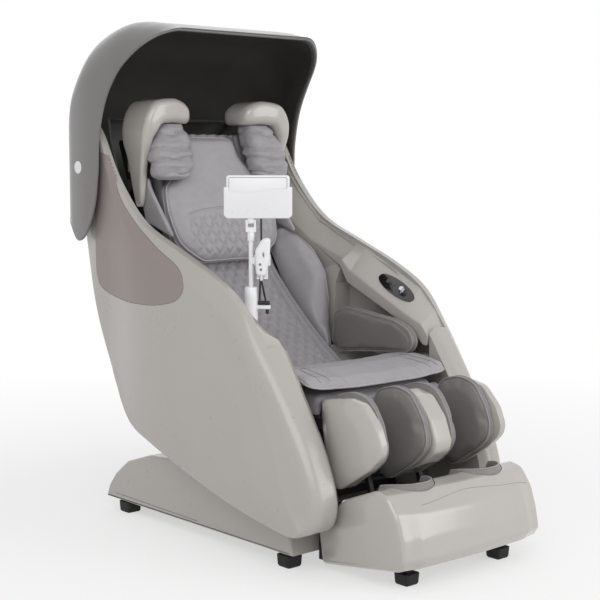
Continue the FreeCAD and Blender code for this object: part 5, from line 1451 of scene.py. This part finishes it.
def flap_rim():
    """The line of the flap's free edge."""
    points = [(x * FLAP_SPREAD, FLAP_FRONT(abs(x)) - 2, 388 + FLAP_LIFT(abs(x)))
              for x in (-FLAP_HALF + 2 * FLAP_HALF * k / 60 for k in range(61))]
    side = [(FLAP_HALF * FLAP_SPREAD, y, 400 + FLAP_LIFT(FLAP_HALF)) for y in range(-302, -175, 15)]
    return [(-a, b, c) for a, b, c in reversed(side)] + points + side


def make_fascia():
    """The upholstered board below the flap."""
    outline = rounded([(-318, 332, 3), (-355, 332, 8), (-357, 379, 12), (-334, 385, 6), (-324, 380, 3), (-324, 346, 3),
                       (-318, 345, 2)], 6)
    levels = smooth_levels([(-188, 6), (-187, 2), (-183, 0), (183, 0), (187, 2), (188, 6)], 40)
    obj = raw("fascia", pad_form(even(outline, 90), levels))
    finished(obj, "seat_fascia_covered", "seat_body", FINISHES["taupe_leather"], 180)
    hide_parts("seat_fascia")


# The leg rest
CALF_SHELL = [(-352, 330, 8), (-352, 390, 12), (-440, 404, 20), (-486, 396, 30), (-530, 350, 40), (-548, 306, 22),
              (-540, 281, 22), (-508, 250, 20), (-410, 188, 16), (-372, 200, 10)]
CALF_PAD = [(-368, 330, 14), (-366, 392, 16), (-425, 408, 20), (-474, 400, 30), (-508, 352, 40), (-526, 300, 20),
            (-518, 276, 20), (-490, 246, 20), (-412, 194, 16), (-384, 206, 12)]
DIVIDER = [(-366.5, 330, 2), (-370, 386, 14), (-430, 402, 20), (-480, 392, 30), (-520, 346, 40), (-540, 292, 22),
           (-534, 268, 20), (-500, 238, 20), (-412, 196, 16), (-384, 204, 2)]
LEG_Y, LEG_Z = -425.0, 386.0


def face_form(outline, levels, wall_draw, spacing=6.0, plane="yz"):
    """A moulding over an outline: levels (place, draw), rings as far as wall_draw and one crowned face within."""
    steps = smooth_levels(levels, 40)
    walls = [(level, inset(outline, draw)) for level, draw in steps if draw <= wall_draw or level < levels[1][0]]
    first = next(i for i in range(len(levels)) if all(q[1] >= p[1] for p, q in zip(levels[i:], levels[i + 1:])))
    rise = gliding([p[1] for p in levels[first:]], [p[0] for p in levels[first:]])
    away = line_tree(even(outline, 3 * len(outline)))
    return crowned(walls, lambda a, b: rise(away(a, b)), spacing, plane)


def make_calf_shells():
    outline = eased(even(rounded([(a, b, r * 1.4) for a, b, r in CALF_SHELL], 10), 260), 8)
    levels = [(188, 1.2), (189.2, 0), (203, 0.05), (207, 1.2), (209.5, 4), (214.5, 16), (218.6, 24), (219.8, 32),
              (220.0, 60)]
    shell = taut(raw("calf", face_form(outline, levels, 5.0)), "x", 12, lambda p: p.x > 214)
    slot = [(LEG_Y - 18, LEG_Z + 40), (LEG_Y - 18, LEG_Z - 8), (LEG_Y - 8, LEG_Z - 18), (LEG_Y + 20, LEG_Z - 58),
            (-340, LEG_Z - 98), (-340, LEG_Z + 40)]
    carve(shell, raw("slot", loft([side_ring(190, slot), side_ring(202, slot)])))
    pin = raw("pin", turned_at("x", [(6, 189), (6, 213)], LEG_Y, LEG_Z))
    shell = joined("calf", shell, pin)
    for side, obj in (("left", shell), ("right", across(shell, "calf_r"))):
        finished(obj, "calf_shell_%s_moulded" % side, "leg_rest", FINISHES["pearl_shell"], 38)
        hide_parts("calf_shell_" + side)
    spine = eased(even(rounded(DIVIDER, 10), 240), 3)
    levels = smooth_levels([(-28, 6), (-26, 2.2), (-22, 0), (22, 0), (26, 2.2), (28, 6)], 24)
    divider = raw("divider", pad_form(spine, levels))
    finished(divider, "calf_divider_moulded", "leg_rest", FINISHES["pearl_shell"], 40)
    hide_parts("calf_divider")


def make_calf_pads():
    outline = inset(eased(even(rounded([(a, b, r * 1.5) for a, b, r in CALF_PAD], 10), 240), 14), -11.0)
    for name, levels, base, face in (
            ("outer", [(187.6, 4), (184, 1.5), (176, 0), (168, 1.5), (163, 8), (160, 22)], 185.0, 166.0),
            ("inner", [(28.4, 4), (32, 1.5), (40, 0), (48, 1.5), (54, 8), (57, 22)], 31.0, 51.0)):
        obj = raw(name, pad_form(outline, smooth_levels(levels, 16)))
        low, high = (None, 0.1876) if name == "outer" else (0.0284, None)
        puffed(obj, 5, 4.0, 4.5, 3.0)
        for v in obj.data.vertices:
            v.co.x = min(v.co.x, high) if high else max(v.co.x, low)
        ring = laid_on(obj, side_ring(face, inset(outline, 8)), 0.0)
        pressed(obj, [ring + ring[:1]], 2.6, 1.8)
        welts = [laid_on(obj, side_ring(base, inset(outline, -3.0)), 0.4),
                 laid_on(obj, side_ring(face, inset(outline, 4.0)), 0.5)]
        welts += mirror_lines(welts)
        pair = joined("pads", across(obj, "pad_r"), obj)
        finished(pair, "calf_pads_%s_padded" % name, "leg_rest", FINISHES["calf_leather"], 180)
        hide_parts("calf_pads_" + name)
        edging("calf_%s_piping" % name, welts, "leg_rest", "dark_leather", "dark_piping", Radius=0.002)


FOOT_SIDE = [(-362, 90, 12), (-376, 15, 6), (-470, 28, 20), (-620, 50, 12), (-637, 73, 12), (-628, 120, 40),
             (-612, 169, 40), (-582, 209, 20), (-548, 217, 20), (-438, 174, 6)]
WELL_X, WELL_Y, WELL_HALF, WELL_FRONT = 114.5, -515.0, 74.5, 76.0
SOLE_SHAFT = (WELL_Y, 84)
LINING = [(66, 3), (70, 1.0), (78, 0.7), (160, 0.7), (188, 0.9), (193, 3.4), (195.6, 6.5), (196, 8.4)]


def foot_well_plan(draw=0.0):
    """The round end of a foot well seen from above, drawn in by draw."""
    half, front = WELL_HALF - draw, WELL_FRONT - draw
    return [(WELL_X - half * math.cos(math.radians(a)), WELL_Y - front * math.sin(math.radians(a)))
            for a in range(0, 181, 5)]


def run_out_bore(side, gap, z0, z1):
    """The square hole that a run-out bar passes through."""
    half, x, y = 6 + gap, side * 84.0, LEG_Y + 101
    turn = (Matrix.Translation((0, LEG_Y, LEG_Z)) @ Matrix.Rotation(math.radians(-16.4), 4, "X")
            @ Matrix.Translation((0, -LEG_Y, -LEG_Z)))
    return moved(brick(x - half, x + half, y - half, y + half, z0, z1), turn)


def make_foot(sizes):
    half = [(-229, 9, 0), (-227, 3.5, 0), (-222, 0, 0.5), (-200, 0, 4.5), (-173, 0, 12), (-150, 0, 13.6),
            (-70, 0, 16.6), (0, 0, 18)]
    profile = half + [(-x, d, b) for x, d, b in reversed(half[:-1])]
    rings = []
    for x, draw, push in profile:
        side = [(a - push if a < -600 else a - push * 0.5 if a < -550 else a, b, r) for a, b, r in FOOT_SIDE]
        rings.append((x, inset(eased(even(rounded(side, 10), 260), 3), draw)))
    flow = [(low[0] + (high[0] - low[0]) * k / 4,
             [(p[0] + (q[0] - p[0]) * k / 4, p[1] + (q[1] - p[1]) * k / 4) for p, q in zip(low[1], high[1])])
            for low, high in zip(rings, rings[1:]) for k in range(4)] + [rings[-1]]
    shell = raw("foot", loft([side_ring(x, pts) for x, pts in flow]))
    for side in (-1, 1):
        mouth = [(WELL_X + WELL_HALF - 6, -424), (WELL_X - WELL_HALF + 6, -424)]
        plan = [(side * x, y) for x, y in foot_well_plan() + mouth]
        carve(shell, raw("well", loft([[(x, y, z) for x, y in plan] for z in (62, 262)])))
        carve(shell, raw("bore", run_out_bore(side, 0.3, -60, 286)))
    carve(shell, raw("shaft", turned_at("x", [(4.05, -209), (4.05, 209)], *SOLE_SHAFT)))
    finished(shell, "foot_shell_moulded", "foot_rest", FINISHES["pearl_shell"], 34)
    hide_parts("foot_shell")
    linings, welts = [], []

    def rim_height(y):
        return gliding([-592, -548, -438], [216, 219, 188])(y)

    def arch(x):
        return max(0.0, 1 - ((x - WELL_X) / 66) ** 2)
    for side in (-1, 1):
        rings = []
        for z, draw in smooth_levels(LINING, 30):
            share = max(0.0, (z - 150) / 46)
            outer, inner = foot_well_plan(draw), foot_well_plan(17 - draw * 0.95)
            rings.append([(side * x, y, z + (rim_height(y) + 6 * arch(x) - 196) * share)
                          for x, y in even(outer, 60, False) + even(inner, 60, False)[::-1]])
        lining = raw("lining", loft(rings))
        carve(lining, raw("gap", brick(-240, 240, -519.4, -510.6, 50, 88.4)))
        linings.append(lining)
        welts.append([(side * x, y, rim_height(y) + 6 * arch(x) + 0.3)
                      for x, y in even(foot_well_plan(LINING[-1][1]), 120, False)])
    lining = joined("linings", *linings)
    finished(lining, "foot_pads_lining", "foot_rest", FINISHES["calf_leather"], 50)
    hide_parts("foot_pads")
    # Painted shade: a thin dark line laid across the top front of the shell stands in for the shade in its crease.
    crease = [(x, -608 + 3.5 * math.cos(x / 46), 300) for x in range(-150, 213, 6)]
    drop = BVHTree.FromPolygons([v.co for v in shell.data.vertices], [tuple(p.vertices) for p in shell.data.polygons])
    laid = [drop.ray_cast(Vector(p) * MM, Vector((0, 0, -1)))[0] for p in crease]
    edging("foot_shell_crease_shade", [[tuple(p / MM) for p in laid if p]], "foot_rest", "black_plastic", "seam_line",
           closed=False, Radius=0.0004)
    edging("foot_lining_piping", welts, "foot_rest", "dark_leather", "dark_piping", closed=False, Radius=sizes.piping)
    rollers = roller_form()
    finished(rollers, "foot_rollers_turned", "foot_rollers", FINISHES["rubber_black"], 40)
    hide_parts("foot_rollers")


def roller_form():
    """The rollers under the soles: ribbed rubber sleeves on a steel shaft."""
    shaft = [(4, -205), (4, 205)]
    parts = [turned_at("x", [(3.2, -205)] + shaft + [(3.2, 205)], *SOLE_SHAFT)]
    for x in (-WELL_X, WELL_X):
        ribs = [(4, x - 34), (9, x - 34), (10.5, x - 33)]
        for k in range(9):
            at = x - 32 + k * 8
            if at + 6 < x + 34:
                ribs += [(10.6, at), (11.8, at + 1.2), (12.0, at + 3), (11.8, at + 4.8), (10.6, at + 6)]
        parts.append(turned_at("x", ribs + [(10.5, x + 33), (9, x + 34), (4, x + 34)], *SOLE_SHAFT))
    return raw("rollers", merged(*parts))


# The stand, the tablet and the handset
def stood(part):
    """Sets a piece drawn about the post in its place on the deck."""
    return moved(part, STAND)


def make_stand():
    arm = brick(0, 46, -9, 9, 583, 592.7, 2.0)
    sleeve = turned_at("z", [(5.55, 612), (5.55, 634), (8, 636), (13.5, 636), (15, 634), (15.5, 612), (16, 570),
                             (16, 540), (2, 540)], 0, 0, 40)
    foot = raw("stand", stood(merged(sleeve, arm)))
    carve(foot, raw("bore", stood(turned_at("z", [(4.3, 575), (4.3, 600)], 38, 0))))
    below = [(-400, deck_z(-400, 0) - 0.2), (100, deck_z(100, 0) - 0.2), (100, 0), (-400, 0)]
    far = [(-400, deck_z(-400, 400) - 0.2), (100, deck_z(100, 400) - 0.2), (100, 0), (-400, 0)]
    carve(foot, raw("deck", loft([side_ring(0, below), side_ring(-400, far)])))
    finished(foot, "stand_base_moulded", "seat_body", FINISHES["white_plastic"], 40)
    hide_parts("stand_base")

    post = turned_at("z", [(5.5, 610.6), (5.5, 768), (5.0, 769)], 0, 0, 32)
    collar = turned_at("z", [(7.6, 744), (8.2, 745), (8.2, 763), (7.6, 764)], 0, 0, 32)
    cheeks = [brick(s * 9.7 - 2.3, s * 9.7 + 2.3, -5, 5, 764, 794, 1.2) for s in (-1, 1)]
    web = brick(-11.5, 11.5, -4.8, 4.8, 764, 776.5, 1.5)
    screw = moved(turned("x", [(3.6, -13), (4.2, -12.4), (4.2, -11)], 24), TRAY_AXIS)
    pin = moved(turned("x", [(2, -12), (2, 12)], 24), TRAY_AXIS)
    clip = merged(brick(-3, 26, -6.7, -3, 690, 706, 0.8), brick(8, 46, -6.7, -3.5, 686, 712, 1.0),
                  brick(14, 40, -6.7, -3.5, 655.8, 690, 0.8))
    shelf = merged(brick(14, 19.8, -24, -3.5, 655.8, 659.7, 0.8), brick(30.2, 40, -24, -3.5, 655.8, 659.7, 0.8),
                   brick(19.8, 30.2, -8.8, -3.5, 655.8, 659.7, 0.8))
    obj = raw("post", stood(merged(post, collar, *cheeks, web, screw, pin, clip, shelf)))
    finished(obj, "tablet_post_turned", "seat_body", FINISHES["white_plastic"], 40)
    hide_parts("tablet_post")


def front_plate(outline, y0, y1, edge):
    """A plate facing along y, its rim broken on both faces."""
    rings = []
    near = edge * 0.3
    for y, d in ((y0, edge), (y0 + near, near), (y0 + edge, 0), (y1 - edge, 0), (y1 - near, near), (y1, edge)):
        rings.append([(a, y, b) for a, b in inset(outline, d)])
    return loft(rings)


def make_tablet():
    low, high = 797.0, 870.0
    x0, x1 = -63.0, 97.0
    outline = rounded(oblong(x0, x1, low, high, 11, 3), 8)
    tray = raw("tray", stood(front_plate(outline, -8, 8, 1.8)))
    carve(tray, raw("pocket", stood(brick(x0 + 4, x1 - 4, -5, 4.5, low + 4, high + 6))))
    wave = [(x1 - 12, high + 10), (x0 + 12, high + 10)] + [
        (x0 + 12 + (x1 - x0 - 24) * k / 24, high - 9 - 5 * math.sin(math.pi * 1.6 * k / 24)) for k in range(25)]
    carve(tray, raw("dip", stood(loft([[(a, y, b) for a, b in wave] for y in (-11, -4.5)]))))
    window = rounded(oblong(x0 + 12, x1 - 12, low + 10, high + 9, 5, 0), 5)
    carve(tray, raw("window", stood(loft([[(a, y, b) for a, b in window] for y in (4, 11)]))))
    knuckle = raw("knuckle", stood(merged(
        moved(turned("x", [(2.05, -7), (4.6, -7), (5, -6.4), (5, 6.4), (4.6, 7), (2.05, 7)], 28), TRAY_AXIS),
        brick(-7, 7, -4, 4, 790, 799, 0.6))))
    tray = joined("tray", tray, knuckle)
    finished(tray, "tablet_tray_moulded", "tablet_tray", FINISHES["white_plastic"], 38)
    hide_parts("tablet_tray")

    low, high = 801.3, 897.3
    x0, x1 = -57.0, 91.0
    outline = rounded(oblong(x0, x1, low, high, 6), 8)
    case = raw("case", stood(front_plate(outline, -4.5, 4.0, 1.3)))
    pane = rounded(oblong(x0 + 7, x1 - 7, low + 7, high - 7, 2), 4)
    dark = raw("glass", stood(front_plate(pane, 3.6, 4.35, 0.25)))
    frame_line = [(a, -4.6, b) for a, b in rounded(oblong(x0 + 6, x1 - 6, low + 6, high - 5, 3), 5)]
    edging("tablet_frame_line", [[tuple(STAND @ Vector(p)) for p in frame_line]], "tablet", "grey_plastic",
           "grey_plastic", Radius=0.0006)
    finished(case, "tablet_case", "tablet", FINISHES["white_plastic"], 40)
    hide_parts("tablet")
    finished(dark, "tablet_screen", "tablet", FINISHES["screen"], 40)


def make_handset():
    low = 660
    side = [(12, low + 4, 10), (34, low, 12), (44, 700, 34), (47, 752, 8), (28, 752, 24), (10, 722, 24)]
    side = even(rounded(side, 10), 180)
    levels = smooth_levels([(-22, 8), (-21, 4), (-18, 1.2), (-15, 0), (-10, 0), (-8, 1), (-7, 3)], 14)
    rings = [[(a, y, b) for a, b in inset(side, d)] for y, d in levels]
    body = raw("handset", stood(loft(rings)))
    slot = rounded([(27, 712, 2.4), (31, 699, 2.4), (33, 712, 2.4), (30, 727, 2.4)], 4)
    carve(body, raw("well", stood(loft([[(a, y, b) for a, b in slot] for y in (-24, -20.4)]))))
    relief = raw("relief", stood(turned_at("z", [(3.2, 652), (3.4, 654), (4, 662)], 25, -14)))
    body = joined("handset", body, relief)
    finished(body, "handset_moulded", "handset", FINISHES["white_plastic"], 40)
    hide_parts("handset")
    keys = []
    turns = [math.tau * k / 24 for k in range(24)]
    for a, b in ((22, 690), (24, 678)):
        keys.append(front_plate([(a + 3.1 * math.cos(t), b + 3.1 * math.sin(t)) for t in turns], -22.9, -21.4, 0.4))
    rocker = rounded([(28, 713, 1.8), (30.6, 704, 1.8), (31.8, 712, 1.8), (29.8, 722, 1.8)], 4)
    keys.append(front_plate(rocker, -21.6, -20.2, 0.3))
    pads = raw("keys", stood(merged(*keys)))
    finished(pads, "handset_keys", "handset", FINISHES["grey_plastic"], 40)
    grip = turned("x", [(3.6, 16), (5, 17.4), (5, 26), (4.4, 27), (5, 28), (5, 42.6), (3.6, 44)], 28)
    plug = raw("plug", stood(merged(
        moved(grip, Matrix.Translation((0, 0, 598))), turned_at("z", [(3.0, 572), (4.1, 573), (4.1, 598)], 38, 0, 28))))
    finished(plug, "cord_plug_moulded", "seat_body", FINISHES["black_plastic"], 40)
    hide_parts("cord_plug")


# Controls on the decks
def deck_frame(x, y):
    """The turn that lays a piece on the deck at x and y."""
    along = Vector((0, 1, DECK_SLOPE)).normalized()
    across_way = Vector((1, 0, 1))
    up = across_way.cross(along).normalized()
    across_way = along.cross(up)
    return Matrix(((across_way.x, along.x, up.x, x), (across_way.y, along.y, up.y, y),
                   (across_way.z, along.z, up.z, deck_z(y, x)), (0, 0, 0, 1)))


def flat_plate(outline, z0, z1, edge):
    """A plate lying flat, the edge of its top broken."""
    rings = []
    near = edge * 0.3
    for z, d in ((z0, 0), (z1 - edge, 0), (z1 - near, near), (z1, edge)):
        rings.append([(a, b, z) for a, b in inset(outline, d)])
    return loft(rings)


def make_controls():
    lay = deck_frame(267, -118)
    leaf = [(side * 22 * math.sin(math.pi * k / 28) ** 0.85, side * 67 * -math.cos(math.pi * k / 28))
            for side in (1, -1) for k in range(28)]
    plate = raw("plate", moved(flat_plate(leaf, -0.2, 3.0, 0.9), lay))
    collar = turned_at("z", [(9, 1.6), (9, 6.4), (9.6, 7), (10.6, 7), (11, 6.4), (11.6, 3)], 0, -26, 40)
    collar = raw("collar", moved(collar, lay))
    carve(plate, raw("socket", moved(turned_at("z", [(9, 1.5), (9, 12)], 0, -26, 40), lay)))
    keys = [flat_plate(rounded(oblong(-5, 5, y - 6, y + 6, 2), 4), 2.6, 4.0, 0.5) for y in (14, 34)]
    keys = raw("keys", moved(merged(*keys), lay))
    plate = joined("panel", plate, collar, keys)
    finished(plate, "joystick_panel_moulded", "seat_body", FINISHES["gloss_black"], 40)
    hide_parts("joystick_panel")
    axle = moved(turned("x", [(1.2, -8.7), (1.2, 8.7)], 16), Matrix.Translation((0, -26, 6.5)))
    knob = turned_at("z", [(3.4, 9), (2.4, 11), (2.4, 15.5), (4, 16.8), (6.4, 17.2), (7, 18.2), (6.9, 19.6),
                           (6.0, 20.4), (3.5, 20.0), (0.02, 19.8)], 0, -26, 36)
    stick = raw("stick", moved(merged(brick(-4, 4, -30, -22, 3, 10, 0.8), axle, knob), lay))
    finished(stick, "joystick_turned", "joystick", FINISHES["chrome_trim"], 40)
    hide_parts("joystick")

    lay = deck_frame(267, -92)
    edge = rounded(oblong(-13, 13, -40, 62, 8), 8)
    plate = raw("keyplate", moved(flat_plate(edge, -0.2, 4.0, 0.8), lay))
    for k in (-1, 0, 1):
        carve(plate, raw("keywell", moved(brick(-7.3, 7.3, k * 22 - 8.3, k * 22 + 8.3, 1, 6), lay)))
    plate = mirrored_in_place(plate)
    finished(plate, "control_panel_moulded", "seat_body", FINISHES["grey_plastic"], 40)
    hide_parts("control_panel")
    for k, name in ((-1, "front"), (0, "middle"), (1, "rear")):
        cap = rounded(oblong(-7, 7, k * 22 - 8, k * 22 + 8, 3), 6)
        rings = [[(a, b, z) for a, b in inset(cap, d)]
                 for z, d in ((2.8, 0), (5.2, 0), (5.8, 0.25), (6.0, 0.8), (5.6, 2.6), (5.4, 4.5))]
        key = mirrored_in_place(raw("key", moved(loft(rings), lay)))
        finished(key, "button_%s_cap" % name, "button_" + name, FINISHES["white_plastic"], 40)
        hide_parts("button_" + name)


# The base
BASE_SIDE = [(426, 31, 0), (412, 66, 10), (381, 102, 20), (326, 143, 30), (226, 175, 40), (60, 188, 60),
             (-200, 150, 60), (-308, 107, 20), (-330, 74, 10), (-339, 33, 0)]
BASE_HALF, BASE_ROUND, BASE_WALL = 288, 7, 4


def make_base():
    outline = even(rounded([(a, b, max(r, 3)) for a, b, r in BASE_SIDE], 8), 260)
    turns = [math.pi / 2 * k / 6 for k in range(6, -1, -1)]
    half = [(BASE_HALF - BASE_ROUND * (1 - math.cos(t)), BASE_ROUND * (1 - math.sin(t))) for t in turns]
    levels = [(-x, d) for x, d in reversed(half)] + half
    body = raw("cover", pad_form(outline, levels))
    inside = BASE_HALF - BASE_WALL
    carve(body, raw("core", pad_form(inset(outline, BASE_WALL), [(-inside, 3), (inside, 3)])))
    carve(body, raw("under", brick(-300, 300, -345, 430, 10, 32.5)))
    carve(body, raw("top", brick(-225, 225, -300, 190, 90, 240)))
    carve(body, raw("inlet", brick(-225, -155, 330, 440, 46, 84)))
    carve(body, raw("lug", brick(-120.3, 120.3, -345, -322, 39.7, 56.3)))
    finished(body, "base_cover_moulded", "base", FINISHES["greige_shell"], 32)
    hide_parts("base_cover")
    # Painted shade: a thin dark line low along each side stands in for the shade in a groove.
    line = [(-BASE_HALF - 0.3, 380 - 360 * k / 40, 48 - 3 * k / 40) for k in range(41)]
    edging("base_groove_shade", [line] + mirror_lines([line]), "base", "black_plastic", "seam_line", closed=False,
           Radius=0.0006)


def dress_nodes():
    """Gives the measured pieces that stay in view their own finishes."""
    table = {
        "base_frame": "black_steel", "base_nose": "black_plastic", "rubber_feet": "rubber_black",
        "slide_rails": "machine_steel", "control_box": "black_plastic", "power_inlet": "black_plastic",
        "mains_switch": "gloss_black", "slide_carriage": "black_steel", "tilt_motor": "black_plastic",
        "seat_frame": "black_steel", "air_pump": "grey_plastic", "guide_rails": "machine_steel",
        "massage_carriage": "black_steel", "massage_rollers": "rubber_black", "rear_cover": "grey_plastic",
        "leg_frame": "black_plastic", "foot_bumpers": "rubber_black"}
    for node, finish in table.items():
        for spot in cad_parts[node].material_slots:
            spot.material = FINISHES[finish]


# The add-on
class ChairColors(bpy.types.PropertyGroup):
    """The colours of the shells, the hood and the upholstery"""
    shell: bpy.props.FloatVectorProperty(
        name="Shell", description="Colour of the moulded body shells", subtype="COLOR", size=3, min=0, max=1,
        default=tone(172, 168, 163)[:3])
    hood: bpy.props.FloatVectorProperty(
        name="Hood", description="Colour of the hood's paint", subtype="COLOR", size=3, min=0, max=1,
        default=tone(112, 110, 109)[:3])
    inlay: bpy.props.FloatVectorProperty(
        name="Inlay", description="Colour of the panels let into the sides", subtype="COLOR", size=3, min=0, max=1,
        default=tone(140, 130, 126)[:3])
    leather: bpy.props.FloatVectorProperty(
        name="Leather", description="Colour of the light upholstery", subtype="COLOR", size=3, min=0, max=1,
        default=tone(160, 157, 161)[:3])
    leather_dark: bpy.props.FloatVectorProperty(
        name="Dark leather", description="Colour of the hip, calf and foot pads", subtype="COLOR", size=3, min=0, max=1,
        default=tone(122, 118, 116)[:3])


class ChairSizes(bpy.types.PropertyGroup):
    """The sizes of the sewn and fitted details"""
    inlay_depth: bpy.props.FloatProperty(
        name="Inlay depth", description="How deep the side inlays are let into the panels", default=0.003,
        unit="LENGTH")
    quilt: bpy.props.FloatProperty(
        name="Quilt pitch", description="Half the diagonal of a quilted diamond", default=0.021, unit="LENGTH")
    piping: bpy.props.FloatProperty(
        name="Piping radius", description="Radius of the welts round the pads", default=0.0022, unit="LENGTH")
    stitch: bpy.props.FloatProperty(
        name="Stitch pitch", description="Distance from one stitch to the next", default=0.0052, unit="LENGTH")


class StageLight(bpy.types.PropertyGroup):
    """How brightly the studio is lit"""
    surround: bpy.props.FloatProperty(
        name="Surround", description="Strength of the plain light from all round", default=0.66, min=0)
    key: bpy.props.FloatProperty(
        name="Key", description="Power of the lamp at the front left", default=62, unit="POWER")
    front: bpy.props.FloatProperty(name="Front", description="Power of the lamp in front", default=52, unit="POWER")
    rear: bpy.props.FloatProperty(name="Rear", description="Power of the lamp behind", default=12, unit="POWER")


class StageOperator(bpy.types.Operator):
    """Sets the floor, the lamps and the camera, and mixes the finishes"""
    bl_idname = "chair.stage"
    bl_label = "Stage and finishes"

    def execute(self, context):
        mix_finishes(context.scene.chair_colors)
        make_stage(context.scene.chair_light)
        return {"FINISHED"}


class CordsOperator(bpy.types.Operator):
    """Hangs the two thin leads on the tablet stand"""
    bl_idname = "chair.cords"
    bl_label = "Leads"

    def execute(self, context):
        make_cord("tablet_lead", TABLET_CORD, "tablet_cord")
        make_cord("handset_lead", HANDSET_CORD, "handset_cord")
        return {"FINISHED"}


class SidePanelsOperator(bpy.types.Operator):
    """Moulds the two side panels and their inlays"""
    bl_idname = "chair.side_panels"
    bl_label = "Side panels"

    def execute(self, context):
        make_side_panels(context.scene.chair_sizes)
        return {"FINISHED"}


class ArmrestsOperator(bpy.types.Operator):
    """Moulds the armrest decks and wings"""
    bl_idname = "chair.armrests"
    bl_label = "Armrests"

    def execute(self, context):
        make_armrests()
        return {"FINISHED"}


class HoodOperator(bpy.types.Operator):
    """Makes the hood, its lining and its pivot caps"""
    bl_idname = "chair.hood"
    bl_label = "Hood"

    def execute(self, context):
        make_hood()
        return {"FINISHED"}


class ShouldersOperator(bpy.types.Operator):
    """Makes the hooked shoulder shells and their gathered bags"""
    bl_idname = "chair.shoulders"
    bl_label = "Shoulder units"

    def execute(self, context):
        make_shoulders()
        return {"FINISHED"}


class BackCushionOperator(bpy.types.Operator):
    """Quilts the back cushion and sews its seams"""
    bl_idname = "chair.back_cushion"
    bl_label = "Back cushion"

    def execute(self, context):
        make_back(context.scene.chair_sizes)
        return {"FINISHED"}


class BolstersOperator(bpy.types.Operator):
    """Pads the two sides of the back"""
    bl_idname = "chair.bolsters"
    bl_label = "Back bolsters"

    def execute(self, context):
        make_bolsters()
        return {"FINISHED"}


class HeadPadOperator(bpy.types.Operator):
    """Pads, quilts and pipes the head pad"""
    bl_idname = "chair.head_pad"
    bl_label = "Head pad"

    def execute(self, context):
        make_head_pad(context.scene.chair_sizes)
        return {"FINISHED"}


class WingPadsOperator(bpy.types.Operator):
    """Pads the wings beside the head"""
    bl_idname = "chair.wing_pads"
    bl_label = "Wing pads"

    def execute(self, context):
        make_wings()
        return {"FINISHED"}


class HipPadsOperator(bpy.types.Operator):
    """Pads and pipes the hip pads"""
    bl_idname = "chair.hip_pads"
    bl_label = "Hip pads"

    def execute(self, context):
        make_hips()
        return {"FINISHED"}


class SeatOperator(bpy.types.Operator):
    """Quilts the seat, sews its flap and covers the board below it"""
    bl_idname = "chair.seat"
    bl_label = "Seat"

    def execute(self, context):
        make_seat(context.scene.chair_sizes)
        make_fascia()
        return {"FINISHED"}


class CalfShellsOperator(bpy.types.Operator):
    """Moulds the calf shells and the divider"""
    bl_idname = "chair.calf_shells"
    bl_label = "Calf shells"

    def execute(self, context):
        make_calf_shells()
        return {"FINISHED"}


class CalfPadsOperator(bpy.types.Operator):
    """Pads and pipes the calf pads"""
    bl_idname = "chair.calf_pads"
    bl_label = "Calf pads"

    def execute(self, context):
        make_calf_pads()
        return {"FINISHED"}


class FootUnitOperator(bpy.types.Operator):
    """Moulds the foot shell, lines its wells and turns its rollers"""
    bl_idname = "chair.foot_unit"
    bl_label = "Foot unit"

    def execute(self, context):
        make_foot(context.scene.chair_sizes)
        return {"FINISHED"}


class TabletStandOperator(bpy.types.Operator):
    """Turns the post and moulds its foot"""
    bl_idname = "chair.tablet_stand"
    bl_label = "Tablet stand"

    def execute(self, context):
        make_stand()
        return {"FINISHED"}


class TabletOperator(bpy.types.Operator):
    """Makes the tablet and its tray"""
    bl_idname = "chair.tablet"
    bl_label = "Tablet"

    def execute(self, context):
        make_tablet()
        return {"FINISHED"}


class HandsetOperator(bpy.types.Operator):
    """Makes the handset and the plug that the leads share"""
    bl_idname = "chair.handset"
    bl_label = "Handset"

    def execute(self, context):
        make_handset()
        return {"FINISHED"}


class ControlsOperator(bpy.types.Operator):
    """Makes the joystick, the key plate and its keys"""
    bl_idname = "chair.controls"
    bl_label = "Controls"

    def execute(self, context):
        make_controls()
        return {"FINISHED"}


class BaseOperator(bpy.types.Operator):
    """Moulds the base cover"""
    bl_idname = "chair.base"
    bl_label = "Base"

    def execute(self, context):
        make_base()
        return {"FINISHED"}


class MechanismOperator(bpy.types.Operator):
    """Gives the measured pieces that stay in view their finishes"""
    bl_idname = "chair.mechanism"
    bl_label = "Mechanism"

    def execute(self, context):
        dress_nodes()
        return {"FINISHED"}


OPERATORS = (
    StageOperator, CordsOperator, SidePanelsOperator, ArmrestsOperator, HoodOperator, ShouldersOperator,
    BackCushionOperator, BolstersOperator, HeadPadOperator, WingPadsOperator, HipPadsOperator, SeatOperator,
    CalfShellsOperator, CalfPadsOperator, FootUnitOperator, TabletStandOperator, TabletOperator, HandsetOperator,
    ControlsOperator, BaseOperator, MechanismOperator)


class ChairPanel(bpy.types.Panel):
    """Lists the chair's pieces in the order that they are made"""
    bl_idname = "VIEW3D_PT_massage_chair"
    bl_label = "Massage chair"
    bl_space_type = "VIEW_3D"
    bl_region_type = "UI"
    bl_category = "Chair"

    def draw(self, context):
        for group in (context.scene.chair_colors, context.scene.chair_sizes, context.scene.chair_light):
            box = self.layout.box()
            for name in group.bl_rna.properties.keys():
                if name not in ("rna_type", "name"):
                    box.prop(group, name)
        for operator in OPERATORS:
            self.layout.operator(operator.bl_idname)


CLASSES = (ChairColors, ChairSizes, StageLight, *OPERATORS, ChairPanel)


def register():
    for cls in CLASSES:
        bpy.utils.register_class(cls)
    bpy.types.Scene.chair_colors = bpy.props.PointerProperty(type=ChairColors)
    bpy.types.Scene.chair_sizes = bpy.props.PointerProperty(type=ChairSizes)
    bpy.types.Scene.chair_light = bpy.props.PointerProperty(type=StageLight)


def unregister():
    del bpy.types.Scene.chair_light, bpy.types.Scene.chair_sizes, bpy.types.Scene.chair_colors
    for cls in reversed(CLASSES):
        bpy.utils.unregister_class(cls)


def main():
    register()
    for operator in OPERATORS:
        getattr(bpy.ops.chair, operator.bl_idname.split(".")[1])()


if __name__ == "__main__":
    main()
